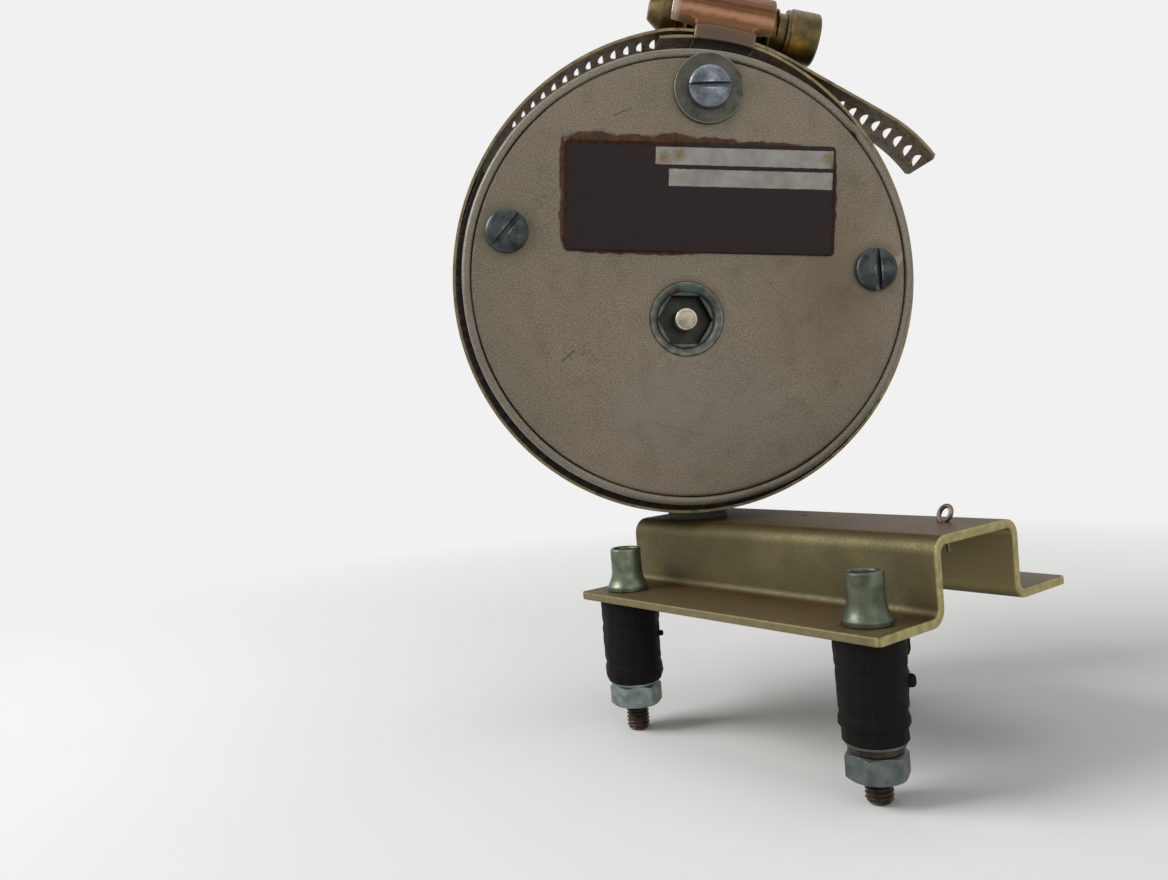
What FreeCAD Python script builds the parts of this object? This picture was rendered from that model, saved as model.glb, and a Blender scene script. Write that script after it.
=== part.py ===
"""Altitude hold module: a pressure can in a worm-drive band, on a hat-section bracket
that stands on three rubber mounts. One STEP file is written for each piece.

Units are millimetres. The origin is the tip of the left front stud, +X runs along the
bracket, +Y from the front flange to the rear one and +Z up.

The can's pieces are drawn in the can's own frame: the middle of its face is the origin,
+Y runs into the can, +X to the right and +Z up for someone who looks at the face.
The clamp's pieces are drawn in the same frame with the clamp housing straight up.
"""
import math
import os

import FreeCAD
import Part
from FreeCAD import Vector

# bracket
SHEET = 1.6
BRACKET_LENGTH = 76.2
FLANGE_WIDTH = 16.9
HAT_WIDTH = 26.4
HAT_HEIGHT = 13.5
BEND_RADIUS = 1.6
CORNER_RADIUS = 1.5
FLANGE_TOP = 30.0
MOUNT_FROM_END = 7.5
MOUNT_FROM_EDGE = 7.35
PIN_PLACE = (59.5, 26.6)
PIN_WIRE = 0.5
PIN_EYE = 1.4
PIN_LEGS = 4.5
PIN_HOLE_RADIUS = 1.15
SPARE_HOLE_PLACE = (27.2, 26.9)
SPARE_HOLE_RADIUS = 0.9

# rubber mounts
FERRULE_HEIGHT = 9.0
FERRULE_RADIUS = 3.2
FERRULE_FLARE = 4.5
FERRULE_BORE = 2.2
FERRULE_SHANK = 3.0
FERRULE_DEPTH = 5.0
RUBBER_RADIUS = 6.1
RUBBER_LENGTH = 17.9
RUBBER_TAPER = 0.3
NUB_RADIUS = 0.75
NUB_REACH = 0.8
NUB_DEPTH = 9.6
NUB_TURN = 38.0
RUBBER_BEVEL = 1.2
STUD_RADIUS = 2.4
STUD_HEAD_RADIUS = 3.6
STUD_HEAD_DEPTH = 13.5
STUD_HEAD = 1.0
FLAT_WASHER = 0.5
LOCK_WASHER = 1.3
NUT_FLATS = 9.525
NUT_HEIGHT = 4.6

# can
CAN_RADIUS = 47.62
CAN_DEPTH = 44.0
CAN_WALL = 1.8
CAN_TURN = 55.3
CAN_ROLL = 5.2
CAN_FACE_PLACE = (14.4, 11.4)
COVER_THICKNESS = 3.0
COVER_GAP = 0.2
SEAL_THICKNESS = 0.6
LEDGE_WIDTH = 2.2
LEDGE_DEPTH = 2.0
REAR_BEVEL = 1.8
SCREW_FROM_RIM = 8.32
SCREW_ANGLES = (3.6, 85.4, 167.2)
SCREW_SLOTS = (-85.0, 3.0, 52.0)
SCREW_HEAD_RADIUS = 4.45
SCREW_HEAD_HEIGHT = 2.2
SCREW_SLOT = 1.15
SCREW_RADIUS = 2.0
SCREW_DEPTH = 14.0
BOSS_RADIUS = 4.2
RIB_THICKNESS = 2.4
FACE_WASHER_RADIUS = 7.35
FACE_WASHER_THICKNESS = 0.8
PLATE_SIZE = (56.8, 22.7)
PLATE_CENTRE = (1.8, 16.5)
PLATE_THICKNESS = 0.5
PLATE_CORNER = 0.8

# adjuster, capsule and pick-off inside the can
ADJUSTER_PLACE = (-0.7, -8.55)
ADJUSTER_RADIUS = 7.75
ADJUSTER_FLATS = 9.9
ADJUSTER_TO_CAPSULE = 4.0
POST_RADIUS = 2.4
POST_INSET = 0.2
CAPSULE_RADIUS = 16.0
CAPSULE_SHEET = 0.5
CAPSULE_RISE = 3.0
CAPSULE_FROM_REAR = 27.0
CAPSULE_Y = CAN_DEPTH - CAPSULE_FROM_REAR
STEM_Y = CAPSULE_Y + 2 * CAPSULE_RISE
DISC_THICKNESS = 1.2
DISC_BORE = 1.2
DISC_FROM_STEM = 1.7
DISC_GAP = 0.5
DISC_Y = STEM_Y + DISC_FROM_STEM
MAGNET_Y = DISC_Y + DISC_THICKNESS + DISC_GAP
CLUTCH_RADIUS = 11.0
MAGNET_POLE = 3.2
MAGNET_WALL = 1.6
MAGNET_BASE = 2.5
CLUTCH_COIL_INSET = 1.2
VANE_THICKNESS = 0.8
VANE_OVERLAP = 4.0
VANE_ARM = 5.0
VANE_REACH = 6.0
VANE_PADDLE = (12.0, 11.0)
INNER_PLATE = 1.6
INNER_PLATE_LEFT = 24.0
INNER_PLATE_RIGHT = 34.0
INNER_PLATE_HALF = 13.0
PICKUP_FOOT = 5.0
PICKUP_YOKE = 2.6
PICKUP_COIL_INSET = 2.1
PICKUP_COIL_WALL = 2.0
PICKUP_X = 21.0
PICKUP_LEFT = PICKUP_X - 5.0
PICKUP_GAP = 0.6
PICKUP_WIDTH = 14.0
PICKUP_LEG = 2.4
PICKUP_THICKNESS = 8.0
PICKUP_WEB = 2.0
PICKUP_FLANGE = 1.5
PICKUP_SHELF = 1.2
BOARD_SIZE = (50.0, 20.0)
BOARD_FROM_RIM = 26.62
BOARD_THICKNESS = 1.6
BOARD_FROM_REAR = 15.2
BOARD_Y = CAN_DEPTH - CAN_WALL - BOARD_FROM_REAR
BOARD_INSET = 2.5
SMALL_SCREW = 1.25
SMALL_HEAD = 2.3
SMALL_HEAD_HEIGHT = 1.5

# socket and static port on the rear wall
CONNECTOR_X = -15.0
CONNECTOR_FROM_RIM = 26.62
CONNECTOR_RADIUS = 8.0
CONNECTOR_WALL = 1.2
CONNECTOR_FLANGE = 23.0
CONNECTOR_SHEET = 1.6
CONNECTOR_CORNER = 2.5
CONNECTOR_ROOT = 2.0
CONNECTOR_LENGTH = 12.0
INSERT_RISE = 2.0
CONTACT_TAIL = 3.0
CONTACT_REACH = 6.0
CONTACT_RADIUS = 0.8
CONTACT_CIRCLE = 4.0
CONTACTS = 4
PORT_X = 19.0
PORT_FROM_RIM = 25.62
PORT_THREAD = 4.6
PORT_FLATS = 12.7
PORT_TUBE = 3.175
PORT_BORE = 1.5
PORT_LENGTH = 12.0
PORT_HEXAGON = 6.0
PORT_ROOT = 1.5

# clamp
LINER_THICKNESS = 1.5
LINER_EXTRA = 0.5
BAND_THICKNESS = 0.6
BAND_WIDTH = 16.0
BAND_FROM_FACE = 5.5
PAD_THICKNESS = 1.6
PAD_RADIUS = 6.5
CLAMP_SWING = 14.0
STRAP_RIVET_RADIUS = 1.6
STRAP_RIVET_HEAD = 4.0
STRAP_RIVET_TAIL = 2.8
RIVET_CLEARANCE = 0.3
SLOT_PITCH = 3.0
SLOT_LENGTH = 7.4
SLOT_DEPTH = 1.6
SLOT_SLANT = 8.0
SEAT_LIFT = 2.53
ENTRY_LIFT = 4.0
EXIT_LIFT = 2.93
TAIL_LENGTH = 35.5
WORM_LIFT = 9.18
WORM_RADIUS = 5.6
WORM_CORE = 4.3
WORM_RINGS = 7
WORM_END = 17.2
HEAD_RADIUS = 5.6
HEAD_SPAN = (13.5, 20.5)
BARREL_START = -12.6
BARREL_LENGTH = 22.6
BARREL_UNDERCUT = 2.0
HOUSING_SHEET = 0.9
HOUSING_LIP = 0.55
HOUSING_NECK = (-7.2, 6.0)
FOOT_TURNS = (-8.0, 6.6)
HEAD_BEVEL = 0.6
HEAD_SLOT = 1.3

# clockwise from the clamp housing: inner end, end of its seat, meets the liner,
# leaves the liner, enters the housing, leaves it as the free tail
BAND_START, SEAT_END, BAND_DOWN, BAND_UP, BAND_ENTRY, BAND_EXIT = -16.0, 10.0, 76.0, 256.0, 346.0, 378.3
FIRST_SLOT = 300.0
LINER_START, LINER_END = 60.0, 288.0

MOUNT_SPACING = BRACKET_LENGTH - 2 * MOUNT_FROM_END
REAR_MOUNT_Y = 2 * FLANGE_WIDTH + HAT_WIDTH - 2 * MOUNT_FROM_EDGE
# for each mount: place, lock washers under it, and how far its nut is turned
MOUNTS = {
    "left": ((0.0, 0.0), 0, -35.0),
    "right": ((MOUNT_SPACING, 0.0), 1, -38.0),
    "rear": ((MOUNT_SPACING / 2, REAR_MOUNT_Y), 2, 10.0),
}
HAT_TOP = FLANGE_TOP + HAT_HEIGHT
CAN_INSIDE = CAN_RADIUS - CAN_WALL
SCREW_CIRCLE = CAN_RADIUS - SCREW_FROM_RIM
BOARD_CENTRE = (0.0, CAN_RADIUS - BOARD_FROM_RIM)
CONNECTOR_PLACE = (CONNECTOR_X, CAN_RADIUS - CONNECTOR_FROM_RIM)
PORT_PLACE = (PORT_X, CAN_RADIUS - PORT_FROM_RIM)
REAR_WALL_Y = CAN_DEPTH - CAN_WALL
BAND_MIDDLE_Y = BAND_FROM_FACE + BAND_WIDTH / 2
BAND_RADIUS = CAN_RADIUS + LINER_THICKNESS + BAND_THICKNESS / 2
WORM_OFFSET = BAND_RADIUS + WORM_LIFT
CAN_AXIS_Z = HAT_TOP + PAD_THICKNESS + BAND_THICKNESS + LINER_THICKNESS + CAN_RADIUS

X_AXIS, Y_AXIS, Z_AXIS = Vector(1, 0, 0), Vector(0, 1, 0), Vector(0, 0, 1)
ORIGIN = Vector(0, 0, 0)


def on_xz(u, v):
    return Vector(u, 0, v)


def on_yz(u, v):
    return Vector(0, u, v)


def moved(shape, x=0.0, y=0.0, z=0.0):
    return shape.translated(Vector(x, y, z))


def turned_about(shape, axis, degrees):
    return shape.rotated(ORIGIN, axis, degrees)


def outline(points, radii, plane):
    """A closed face through the points, each corner rounded to its radius (0 leaves it sharp)."""
    corners = [plane(*point) for point in points]
    edges = []
    ends = []
    for i, corner in enumerate(corners):
        before = (corners[i - 1] - corner).normalize()
        after = (corners[(i + 1) % len(corners)] - corner).normalize()
        if radii[i] == 0:
            ends.append((corner, corner))
            continue
        half = before.getAngle(after) / 2
        reach = radii[i] / math.tan(half)
        first, last = corner + before * reach, corner + after * reach
        centre = corner + (before + after).normalize() * (radii[i] / math.sin(half))
        middle = centre + (corner - centre).normalize() * radii[i]
        ends.append((first, last))
        edges.append(Part.Arc(first, middle, last).toShape())
    for i, (_, last) in enumerate(ends):
        edges.append(Part.LineSegment(last, ends[(i + 1) % len(ends)][0]).toShape())
    return Part.Face(Part.Wire(Part.__sortEdges__(edges)))


def rectangle(centre, size):
    """The corners of a rectangle, anticlockwise from its lower left."""
    x, z = centre[0] - size[0] / 2, centre[1] - size[1] / 2
    return [(x, z), (x + size[0], z), (x + size[0], z + size[1]), (x, z + size[1])]


def turned(points, axis, radii=None, degrees=360.0):
    """A solid of revolution: points are (radius, height along the axis)."""
    radii = radii or [0] * len(points)
    plane = (lambda r, h: Vector(r, 0, h)) if axis == Z_AXIS else (lambda r, h: Vector(r, h, 0))
    return outline(points, radii, plane).revolve(ORIGIN, axis, degrees)


def ring(outer, inner, start, end, axis=Y_AXIS):
    """A ring or, with inner 0, a disc along the axis."""
    return turned([(inner, start), (outer, start), (outer, end), (inner, end)], axis)


def bar(size, corner):
    return Part.makeBox(*size, Vector(*corner))


def hexagon(flats, height):
    """A hexagonal prism on Z, a flat facing +X."""
    reach = flats / math.sqrt(3)
    angles = [math.radians(30 + 60 * i) for i in range(6)]
    points = [Vector(reach * math.cos(a), reach * math.sin(a), 0) for a in angles]
    return Part.Face(Part.makePolygon(points + points[:1])).extrude(Vector(0, 0, height))


def joined(shapes):
    return shapes[0].multiFuse(shapes[1:]).removeSplitter()


def place_can(shape, rolled=True):
    """From the can's frame to the part's frame; rolled pieces turn with the can in its band."""
    if rolled:
        shape = turned_about(shape, Y_AXIS, CAN_ROLL)
    shape = turned_about(shape, Z_AXIS, CAN_TURN)
    return moved(shape, *CAN_FACE_PLACE, CAN_AXIS_Z)


def place_clamp(shape):
    return place_can(turned_about(shape, Y_AXIS, CLAMP_SWING), rolled=False)


def pad_place():
    """Where the clamp's pad stands on the hat, in the part's frame."""
    turn = math.radians(CAN_TURN)
    x, y = CAN_FACE_PLACE
    return x - BAND_MIDDLE_Y * math.sin(turn), y + BAND_MIDDLE_Y * math.cos(turn)


def make_bracket():
    """The hat section, bent from one sheet, with its mount, rivet, pin and spare holes."""
    near, far = FLANGE_WIDTH, FLANGE_WIDTH + HAT_WIDTH
    width = FLANGE_WIDTH + far
    inner, outer = BEND_RADIUS, BEND_RADIUS + SHEET
    points = [(0, 0), (near, 0), (near, HAT_HEIGHT), (far, HAT_HEIGHT), (far, 0), (width, 0),
              (width, -SHEET), (far - SHEET, -SHEET), (far - SHEET, HAT_HEIGHT - SHEET),
              (near + SHEET, HAT_HEIGHT - SHEET), (near + SHEET, -SHEET), (0, -SHEET)]
    radii = [0, inner, outer, outer, inner, 0, 0, outer, inner, inner, outer, 0]
    sheet = outline(points, radii, on_yz).extrude(Vector(BRACKET_LENGTH, 0, 0))
    corners = [e for e in sheet.Edges
               if e.BoundBox.ZLength > 0.9 * SHEET and e.BoundBox.YLength < 0.01
               and e.BoundBox.XLength < 0.01
               and min(e.BoundBox.YMin, width - e.BoundBox.YMax) < 0.01]
    sheet = sheet.makeFillet(CORNER_RADIUS, corners)
    sheet = moved(sheet, -MOUNT_FROM_END, -MOUNT_FROM_EDGE, FLANGE_TOP)
    holes = [(place, FERRULE_SHANK) for place, _, _ in MOUNTS.values()]
    holes += [(pad_place(), STRAP_RIVET_RADIUS), (PIN_PLACE, PIN_HOLE_RADIUS),
              (SPARE_HOLE_PLACE, SPARE_HOLE_RADIUS)]
    for (x, y), radius in holes:
        sheet = sheet.cut(Part.makeCylinder(radius, 2 * HAT_TOP, Vector(x, y, 0)))
    return sheet


def make_split_pin():
    """A split pin: an eye that stands on the hat's top and two legs spread under it."""
    leg, lift, spread = 1.1 * PIN_WIRE, 0.2, 8.0
    neck = math.degrees(math.asin(leg / PIN_EYE))
    corners = [math.radians(45 + 90 * i) for i in range(4)]
    points = [(PIN_EYE + PIN_WIRE * math.cos(a), PIN_WIRE * math.sin(a)) for a in corners]
    eye = turned_about(turned(points, Y_AXIS, degrees=360 - 2 * neck), Y_AXIS, 90 + neck)
    pieces = [moved(eye, 0, 0, lift + PIN_EYE)]
    for side in (-1, 1):
        rod = Part.makeCylinder(PIN_WIRE, PIN_LEGS + SHEET, Vector(side * leg, 0, 0.35), -Z_AXIS)
        pieces.append(rod.rotated(Vector(side * leg, 0, -SHEET), Y_AXIS, -side * spread))
    pin = turned_about(joined(pieces), Z_AXIS, CAN_TURN - 20)
    return moved(pin, *PIN_PLACE, HAT_TOP)


def make_ferrule():
    """A flared steel tube: it stands on the flange and its shank is bonded into the rubber."""
    bend = FERRULE_FLARE - FERRULE_RADIUS
    points = [(FERRULE_BORE, FERRULE_HEIGHT), (FERRULE_RADIUS, FERRULE_HEIGHT),
              (FERRULE_RADIUS, 3.2 * bend), (FERRULE_RADIUS + 0.35 * bend, 1.1 * bend),
              (FERRULE_FLARE, 0), (FERRULE_SHANK, 0), (FERRULE_SHANK, -FERRULE_DEPTH),
              (FERRULE_BORE, -FERRULE_DEPTH)]
    return turned(points, Z_AXIS)


def make_stud():
    """A plain stud with a round head that sits inside the rubber."""
    under_head = -STUD_HEAD_DEPTH - STUD_HEAD
    points = [(0, -FLANGE_TOP), (STUD_RADIUS, -FLANGE_TOP), (STUD_RADIUS, under_head),
              (STUD_HEAD_RADIUS, under_head), (STUD_HEAD_RADIUS, -STUD_HEAD_DEPTH), (0, -STUD_HEAD_DEPTH)]
    return turned(points, Z_AXIS)


def make_rubber(with_nub):
    """A moulded rubber cylinder with a drawn-in foot, bonded round the ferrule's shank and the stud's head."""
    top, bottom = -SHEET, -SHEET - RUBBER_LENGTH
    points = [(0, top), (RUBBER_RADIUS, top), (RUBBER_RADIUS - RUBBER_TAPER, bottom + RUBBER_BEVEL),
              (RUBBER_RADIUS - RUBBER_BEVEL, bottom), (0, bottom)]
    rubber = turned(points, Z_AXIS)
    if with_nub:
        start = Vector(RUBBER_RADIUS - NUB_REACH, 0, -NUB_DEPTH)
        nub = Part.makeCylinder(NUB_RADIUS, 2 * NUB_REACH, start, X_AXIS)
        rubber = rubber.fuse(turned_about(nub, Z_AXIS, NUB_TURN))
    pocket = Part.makeCylinder(FERRULE_SHANK, FERRULE_DEPTH, Vector(0, 0, -FERRULE_DEPTH))
    return rubber.cut(pocket).cut(make_stud())


def make_nut():
    return hexagon(NUT_FLATS, NUT_HEIGHT).cut(Part.makeCylinder(STUD_RADIUS, NUT_HEIGHT))


def make_mounts():
    """Every piece of the three mounts, by node name."""
    nodes = {"flat_washers": [], "lock_washers": [], "mount_nuts": []}
    under_rubber = FLANGE_TOP - SHEET - RUBBER_LENGTH
    for name, ((x, y), locks, nut_turn) in MOUNTS.items():
        nodes["ferrule_" + name] = moved(make_ferrule(), x, y, FLANGE_TOP)
        nodes["rubber_" + name] = moved(make_rubber(name != "rear"), x, y, FLANGE_TOP)
        nodes["stud_" + name] = moved(make_stud(), x, y, FLANGE_TOP)
        flat = ring(RUBBER_RADIUS - 1.0, STUD_RADIUS, -FLAT_WASHER, 0, Z_AXIS)
        nodes["flat_washers"].append(moved(flat, x, y, under_rubber))
        level = under_rubber - FLAT_WASHER
        for _ in range(locks):
            lock = ring(NUT_FLATS / 2, STUD_RADIUS, -LOCK_WASHER, 0, Z_AXIS)
            nodes["lock_washers"].append(moved(lock, x, y, level))
            level -= LOCK_WASHER
        nut = turned_about(make_nut(), Z_AXIS, nut_turn)
        nodes["mount_nuts"].append(moved(nut, x, y, level - NUT_HEIGHT))
    return nodes


def screw_places():
    """The cover screws' places on the face, each with the turn of its slot."""
    for angle, slot in zip(SCREW_ANGLES, SCREW_SLOTS):
        a = math.radians(angle)
        yield SCREW_CIRCLE * math.cos(a), SCREW_CIRCLE * math.sin(a), slot


def along_y(radius, start, end, x=0.0, z=0.0):
    return Part.makeCylinder(radius, end - start, Vector(x, start, z), Y_AXIS)


def make_can_housing():
    """A deep cup with a ledge for the cover's seal, screw bosses and two holes in its rear wall."""
    ledge = CAN_INSIDE - LEDGE_WIDTH
    ledge_y = COVER_THICKNESS + SEAL_THICKNESS
    points = [(0, CAN_DEPTH), (CAN_RADIUS - REAR_BEVEL, CAN_DEPTH), (CAN_RADIUS, CAN_DEPTH - REAR_BEVEL),
              (CAN_RADIUS, 0), (CAN_INSIDE, 0), (CAN_INSIDE, ledge_y), (ledge, ledge_y),
              (ledge, ledge_y + LEDGE_DEPTH),
              (CAN_INSIDE, ledge_y + LEDGE_DEPTH), (CAN_INSIDE, REAR_WALL_Y), (0, REAR_WALL_Y)]
    cup = turned(points, Y_AXIS)
    for x, z, _ in screw_places():
        boss = along_y(BOSS_RADIUS, COVER_THICKNESS, REAR_WALL_Y + 0.5, x, z)
        angle = math.degrees(math.atan2(z, x))
        rib_y = ledge_y + LEDGE_DEPTH + 1
        rib_size = (CAN_INSIDE + 0.5 - SCREW_CIRCLE, REAR_WALL_Y + 0.5 - rib_y, RIB_THICKNESS)
        rib = bar(rib_size, (SCREW_CIRCLE, rib_y, -RIB_THICKNESS / 2))
        cup = cup.fuse([boss, turned_about(rib, Y_AXIS, -angle)])
        cup = cup.cut(along_y(SCREW_RADIUS, 0, SCREW_DEPTH, x, z))
    connector_x, connector_z = CONNECTOR_PLACE
    port_x, port_z = PORT_PLACE
    cup = cup.cut(along_y(CONNECTOR_RADIUS, REAR_WALL_Y - 1, CAN_DEPTH + 1, connector_x, connector_z))
    cup = cup.cut(along_y(PORT_THREAD, REAR_WALL_Y - 1, CAN_DEPTH + 1, port_x, port_z))
    for x, z in inner_screw_places() + connector_screw_places():
        cup = cup.cut(along_y(SMALL_SCREW, REAR_WALL_Y - 1, CAN_DEPTH + 1, x, z))
    return cup


def connector_screw_places():
    x, z = CONNECTOR_PLACE
    reach = CONNECTOR_FLANGE / 2 - 2.6
    return [(x + i * reach, z + j * reach) for i in (-1, 1) for j in (-1, 1)]


def inner_screw_places():
    """Two screws in opposite corners hold the mechanism's plate to the rear wall."""
    x, z = ADJUSTER_PLACE
    inset = 2 * SMALL_HEAD
    return [(x - INNER_PLATE_LEFT + inset, z - INNER_PLATE_HALF + inset),
            (x + INNER_PLATE_RIGHT - inset, z + INNER_PLATE_HALF - inset)]


def board_spacer_places():
    """Two spacers in opposite corners, clear of the socket and the port."""
    x, z = BOARD_CENTRE
    reach_x, reach_z = BOARD_SIZE[0] / 2 - BOARD_INSET, BOARD_SIZE[1] / 2 - BOARD_INSET
    return [(x - reach_x, z + reach_z), (x + reach_x, z - reach_z)]


def make_cover():
    """The round cover plate with its screw holes and the adjuster's hole."""
    cover = ring(CAN_INSIDE - COVER_GAP, 0, 0, COVER_THICKNESS)
    for x, z, _ in screw_places():
        cover = cover.cut(along_y(SCREW_RADIUS + 0.2, -1, COVER_THICKNESS + 1, x, z))
    x, z = ADJUSTER_PLACE
    return cover.cut(along_y(ADJUSTER_RADIUS, -1, COVER_THICKNESS + 1, x, z))


def make_seal():
    return ring(CAN_INSIDE, CAN_INSIDE - LEDGE_WIDTH, COVER_THICKNESS, COVER_THICKNESS + SEAL_THICKNESS)


def make_cover_screws():
    """Three slotted screws with low domed heads; the upper one stands on its washer."""
    screws = []
    for i, (x, z, slot) in enumerate(screw_places()):
        lift = FACE_WASHER_THICKNESS if i == 1 else 0.0
        head = turned([(0, 0), (SCREW_HEAD_RADIUS, 0), (SCREW_HEAD_RADIUS, -0.45 * SCREW_HEAD_HEIGHT),
                       (0.7 * SCREW_HEAD_RADIUS, -SCREW_HEAD_HEIGHT), (0, -SCREW_HEAD_HEIGHT)], Y_AXIS)
        cut = bar((3 * SCREW_HEAD_RADIUS, SCREW_SLOT, SCREW_SLOT),
                  (-1.5 * SCREW_HEAD_RADIUS, -SCREW_HEAD_HEIGHT - 0.1, -SCREW_SLOT / 2))
        head = head.cut(turned_about(cut, Y_AXIS, -slot))
        shank = along_y(SCREW_RADIUS, 0, SCREW_DEPTH + lift)
        screws.append(moved(head.fuse(shank), x, -lift, z))
    return screws


def make_face_washer():
    x, z, _ = list(screw_places())[1]
    return moved(ring(FACE_WASHER_RADIUS, SCREW_RADIUS, -FACE_WASHER_THICKNESS, 0), x, 0, z)


def make_nameplate():
    corners = rectangle(PLATE_CENTRE, PLATE_SIZE)
    return outline(corners, [PLATE_CORNER] * 4, on_xz).extrude(Vector(0, -PLATE_THICKNESS, 0))


def make_adjuster():
    """The bush that carries the capsule: dished mouth, hexagon socket and a flange behind the cover."""
    depth = CAPSULE_Y - ADJUSTER_TO_CAPSULE
    points = [(0, depth), (5.5, depth), (5.5, COVER_THICKNESS + 2), (ADJUSTER_RADIUS + 2, COVER_THICKNESS + 2),
              (ADJUSTER_RADIUS + 2, COVER_THICKNESS), (ADJUSTER_RADIUS, COVER_THICKNESS),
              (ADJUSTER_RADIUS, 0), (ADJUSTER_FLATS / 2 + 0.6, 1.7), (0, 1.7)]
    bush = turned(points, Y_AXIS)
    socket = turned_about(hexagon(ADJUSTER_FLATS, 4.2), Z_AXIS, 30)
    socket = moved(turned_about(socket, X_AXIS, -90), 0, 1.0, 0)
    bush = bush.cut(socket).cut(along_y(POST_RADIUS, 0, depth + 1))
    x, z = ADJUSTER_PLACE
    return moved(bush, x, 0, z)


def make_post():
    """The threaded post in the bush, its flat end level with the face."""
    x, z = ADJUSTER_PLACE
    return along_y(POST_RADIUS, POST_INSET, CAPSULE_Y, x, z)


def capsule_half():
    """One corrugated diaphragm as a dished sheet of even thickness, its hub at y = 0."""
    rise, wave, hub, waves = CAPSULE_RISE - CAPSULE_SHEET, 0.6, 4.0, 2
    pitch = (CAPSULE_RADIUS - hub) / (waves + 1)
    front = [(0, 0)]
    for i in range(waves + 1):
        height = rise * i / waves
        front.append((hub + i * pitch, height + (wave if i % 2 else 0)))
    front += [(CAPSULE_RADIUS, rise)]
    back = [(radius, height + CAPSULE_SHEET) for radius, height in reversed(front)]
    return turned(front + back, Y_AXIS)


def make_capsule():
    """The two halves of the pressure capsule, rim to rim, between the post and the stem."""
    x, z = ADJUSTER_PLACE
    front = moved(capsule_half(), x, CAPSULE_Y, z)
    rear = moved(turned_about(capsule_half(), Z_AXIS, 180), x, STEM_Y, z)
    return front, rear


def make_stem():
    """The stem on the capsule's rear hub: a foot and a thin pin through the disc."""
    x, z = ADJUSTER_PLACE
    foot, pin, foot_end, pin_end = 2.6, 1.2, STEM_Y + 0.8, DISC_Y + DISC_THICKNESS
    points = [(0, STEM_Y), (foot, STEM_Y), (foot, foot_end), (pin, foot_end), (pin, pin_end), (0, pin_end)]
    return moved(turned(points, Y_AXIS), x, 0, z)


def make_armature():
    """The clutch disc that the stem carries just in front of the magnet."""
    x, z = ADJUSTER_PLACE
    return moved(ring(CLUTCH_RADIUS - DISC_GAP, DISC_BORE, DISC_Y, DISC_Y + DISC_THICKNESS), x, 0, z)


def make_clutch():
    """The magnet's pot with its centre pole, and the coil that fills it."""
    x, z = ADJUSTER_PLACE
    front, back = MAGNET_Y, REAR_WALL_Y - INNER_PLATE
    inside, floor = CLUTCH_RADIUS - MAGNET_WALL, back - MAGNET_BASE
    pot = turned([(0, front), (MAGNET_POLE, front), (MAGNET_POLE, floor), (inside, floor),
                  (inside, front), (CLUTCH_RADIUS, front), (CLUTCH_RADIUS, back), (0, back)], Y_AXIS)
    coil = ring(inside, MAGNET_POLE, front + CLUTCH_COIL_INSET, floor)
    return moved(pot, x, 0, z), moved(coil, x, 0, z)


def make_vane():
    """An iron arm on the armature that reaches across in front of the pick-off core."""
    x, z = ADJUSTER_PLACE
    start, front = CLUTCH_RADIUS - VANE_OVERLAP, DISC_Y - VANE_THICKNESS
    arm = bar((PICKUP_X + VANE_REACH - start, VANE_THICKNESS, VANE_ARM), (start, front, -VANE_ARM / 2))
    wide, high = VANE_PADDLE
    paddle = bar((wide, VANE_THICKNESS, high), (PICKUP_LEFT, front, -high / 2))
    return moved(joined([arm, paddle]), x, 0, z)


def make_pickup():
    """The pick-off: an E-shaped core on a foot, and the coil round its middle leg."""
    x, z = ADJUSTER_PLACE
    back = REAR_WALL_Y - INNER_PLATE
    tip, root = DISC_Y + PICKUP_GAP, back - PICKUP_FOOT - PICKUP_YOKE
    left, width, leg, thick, wall = PICKUP_LEFT, PICKUP_WIDTH, PICKUP_LEG, PICKUP_THICKNESS, PICKUP_COIL_WALL
    pitch = (width - leg) / 2
    core = joined([bar((width, PICKUP_YOKE, thick), (left, root, -thick / 2))]
                  + [bar((leg, root - tip, thick), (left + i * pitch, tip, -thick / 2)) for i in range(3)])
    coil_y = tip + PICKUP_COIL_INSET
    coil_size = (leg + 2 * wall, root - coil_y, thick + 2 * wall)
    coil = bar(coil_size, (left + pitch - wall, coil_y, -thick / 2 - wall))
    coil = coil.cut(bar((leg, back - tip, thick), (left + pitch, tip, -thick / 2)))
    foot_y = root + PICKUP_YOKE
    web = bar((width, back - foot_y, PICKUP_WEB), (left, foot_y, -PICKUP_WEB / 2))
    flange = bar((width, PICKUP_FLANGE, thick + 2 * wall), (left, back - PICKUP_FLANGE, -thick / 2 - wall))
    foot = joined([web, flange, bar((width, PICKUP_SHELF, thick), (left, foot_y, -thick / 2))])
    return moved(core, x, 0, z), moved(coil, x, 0, z), moved(foot, x, 0, z)


def make_inner_plate():
    """The flat plate that carries the magnet and the pick-off on the rear wall."""
    x, z = ADJUSTER_PLACE
    left, right = x - INNER_PLATE_LEFT, x + INNER_PLATE_RIGHT
    low, high = z - INNER_PLATE_HALF, z + INNER_PLATE_HALF
    points = [(left, low), (right, low), (right, high), (left, high)]
    flat = outline(points, [0] * 4, on_xz).extrude(Vector(0, INNER_PLATE, 0))
    plate = moved(flat, 0, REAR_WALL_Y - INNER_PLATE)
    for px, pz in inner_screw_places():
        plate = plate.cut(along_y(SMALL_SCREW, 0, CAN_DEPTH, px, pz))
    return plate


def small_screw(head_y, tip_y, x, z, outside=False):
    """A small cheese-head screw along Y; its head is in front of head_y, or behind it if outside."""
    head_start = head_y if outside else head_y - SMALL_HEAD_HEIGHT
    head = along_y(SMALL_HEAD, head_start, head_start + SMALL_HEAD_HEIGHT)
    shank = along_y(SMALL_SCREW, min(head_y, tip_y), max(head_y, tip_y))
    return moved(head.fuse(shank), x, 0, z)


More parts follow.
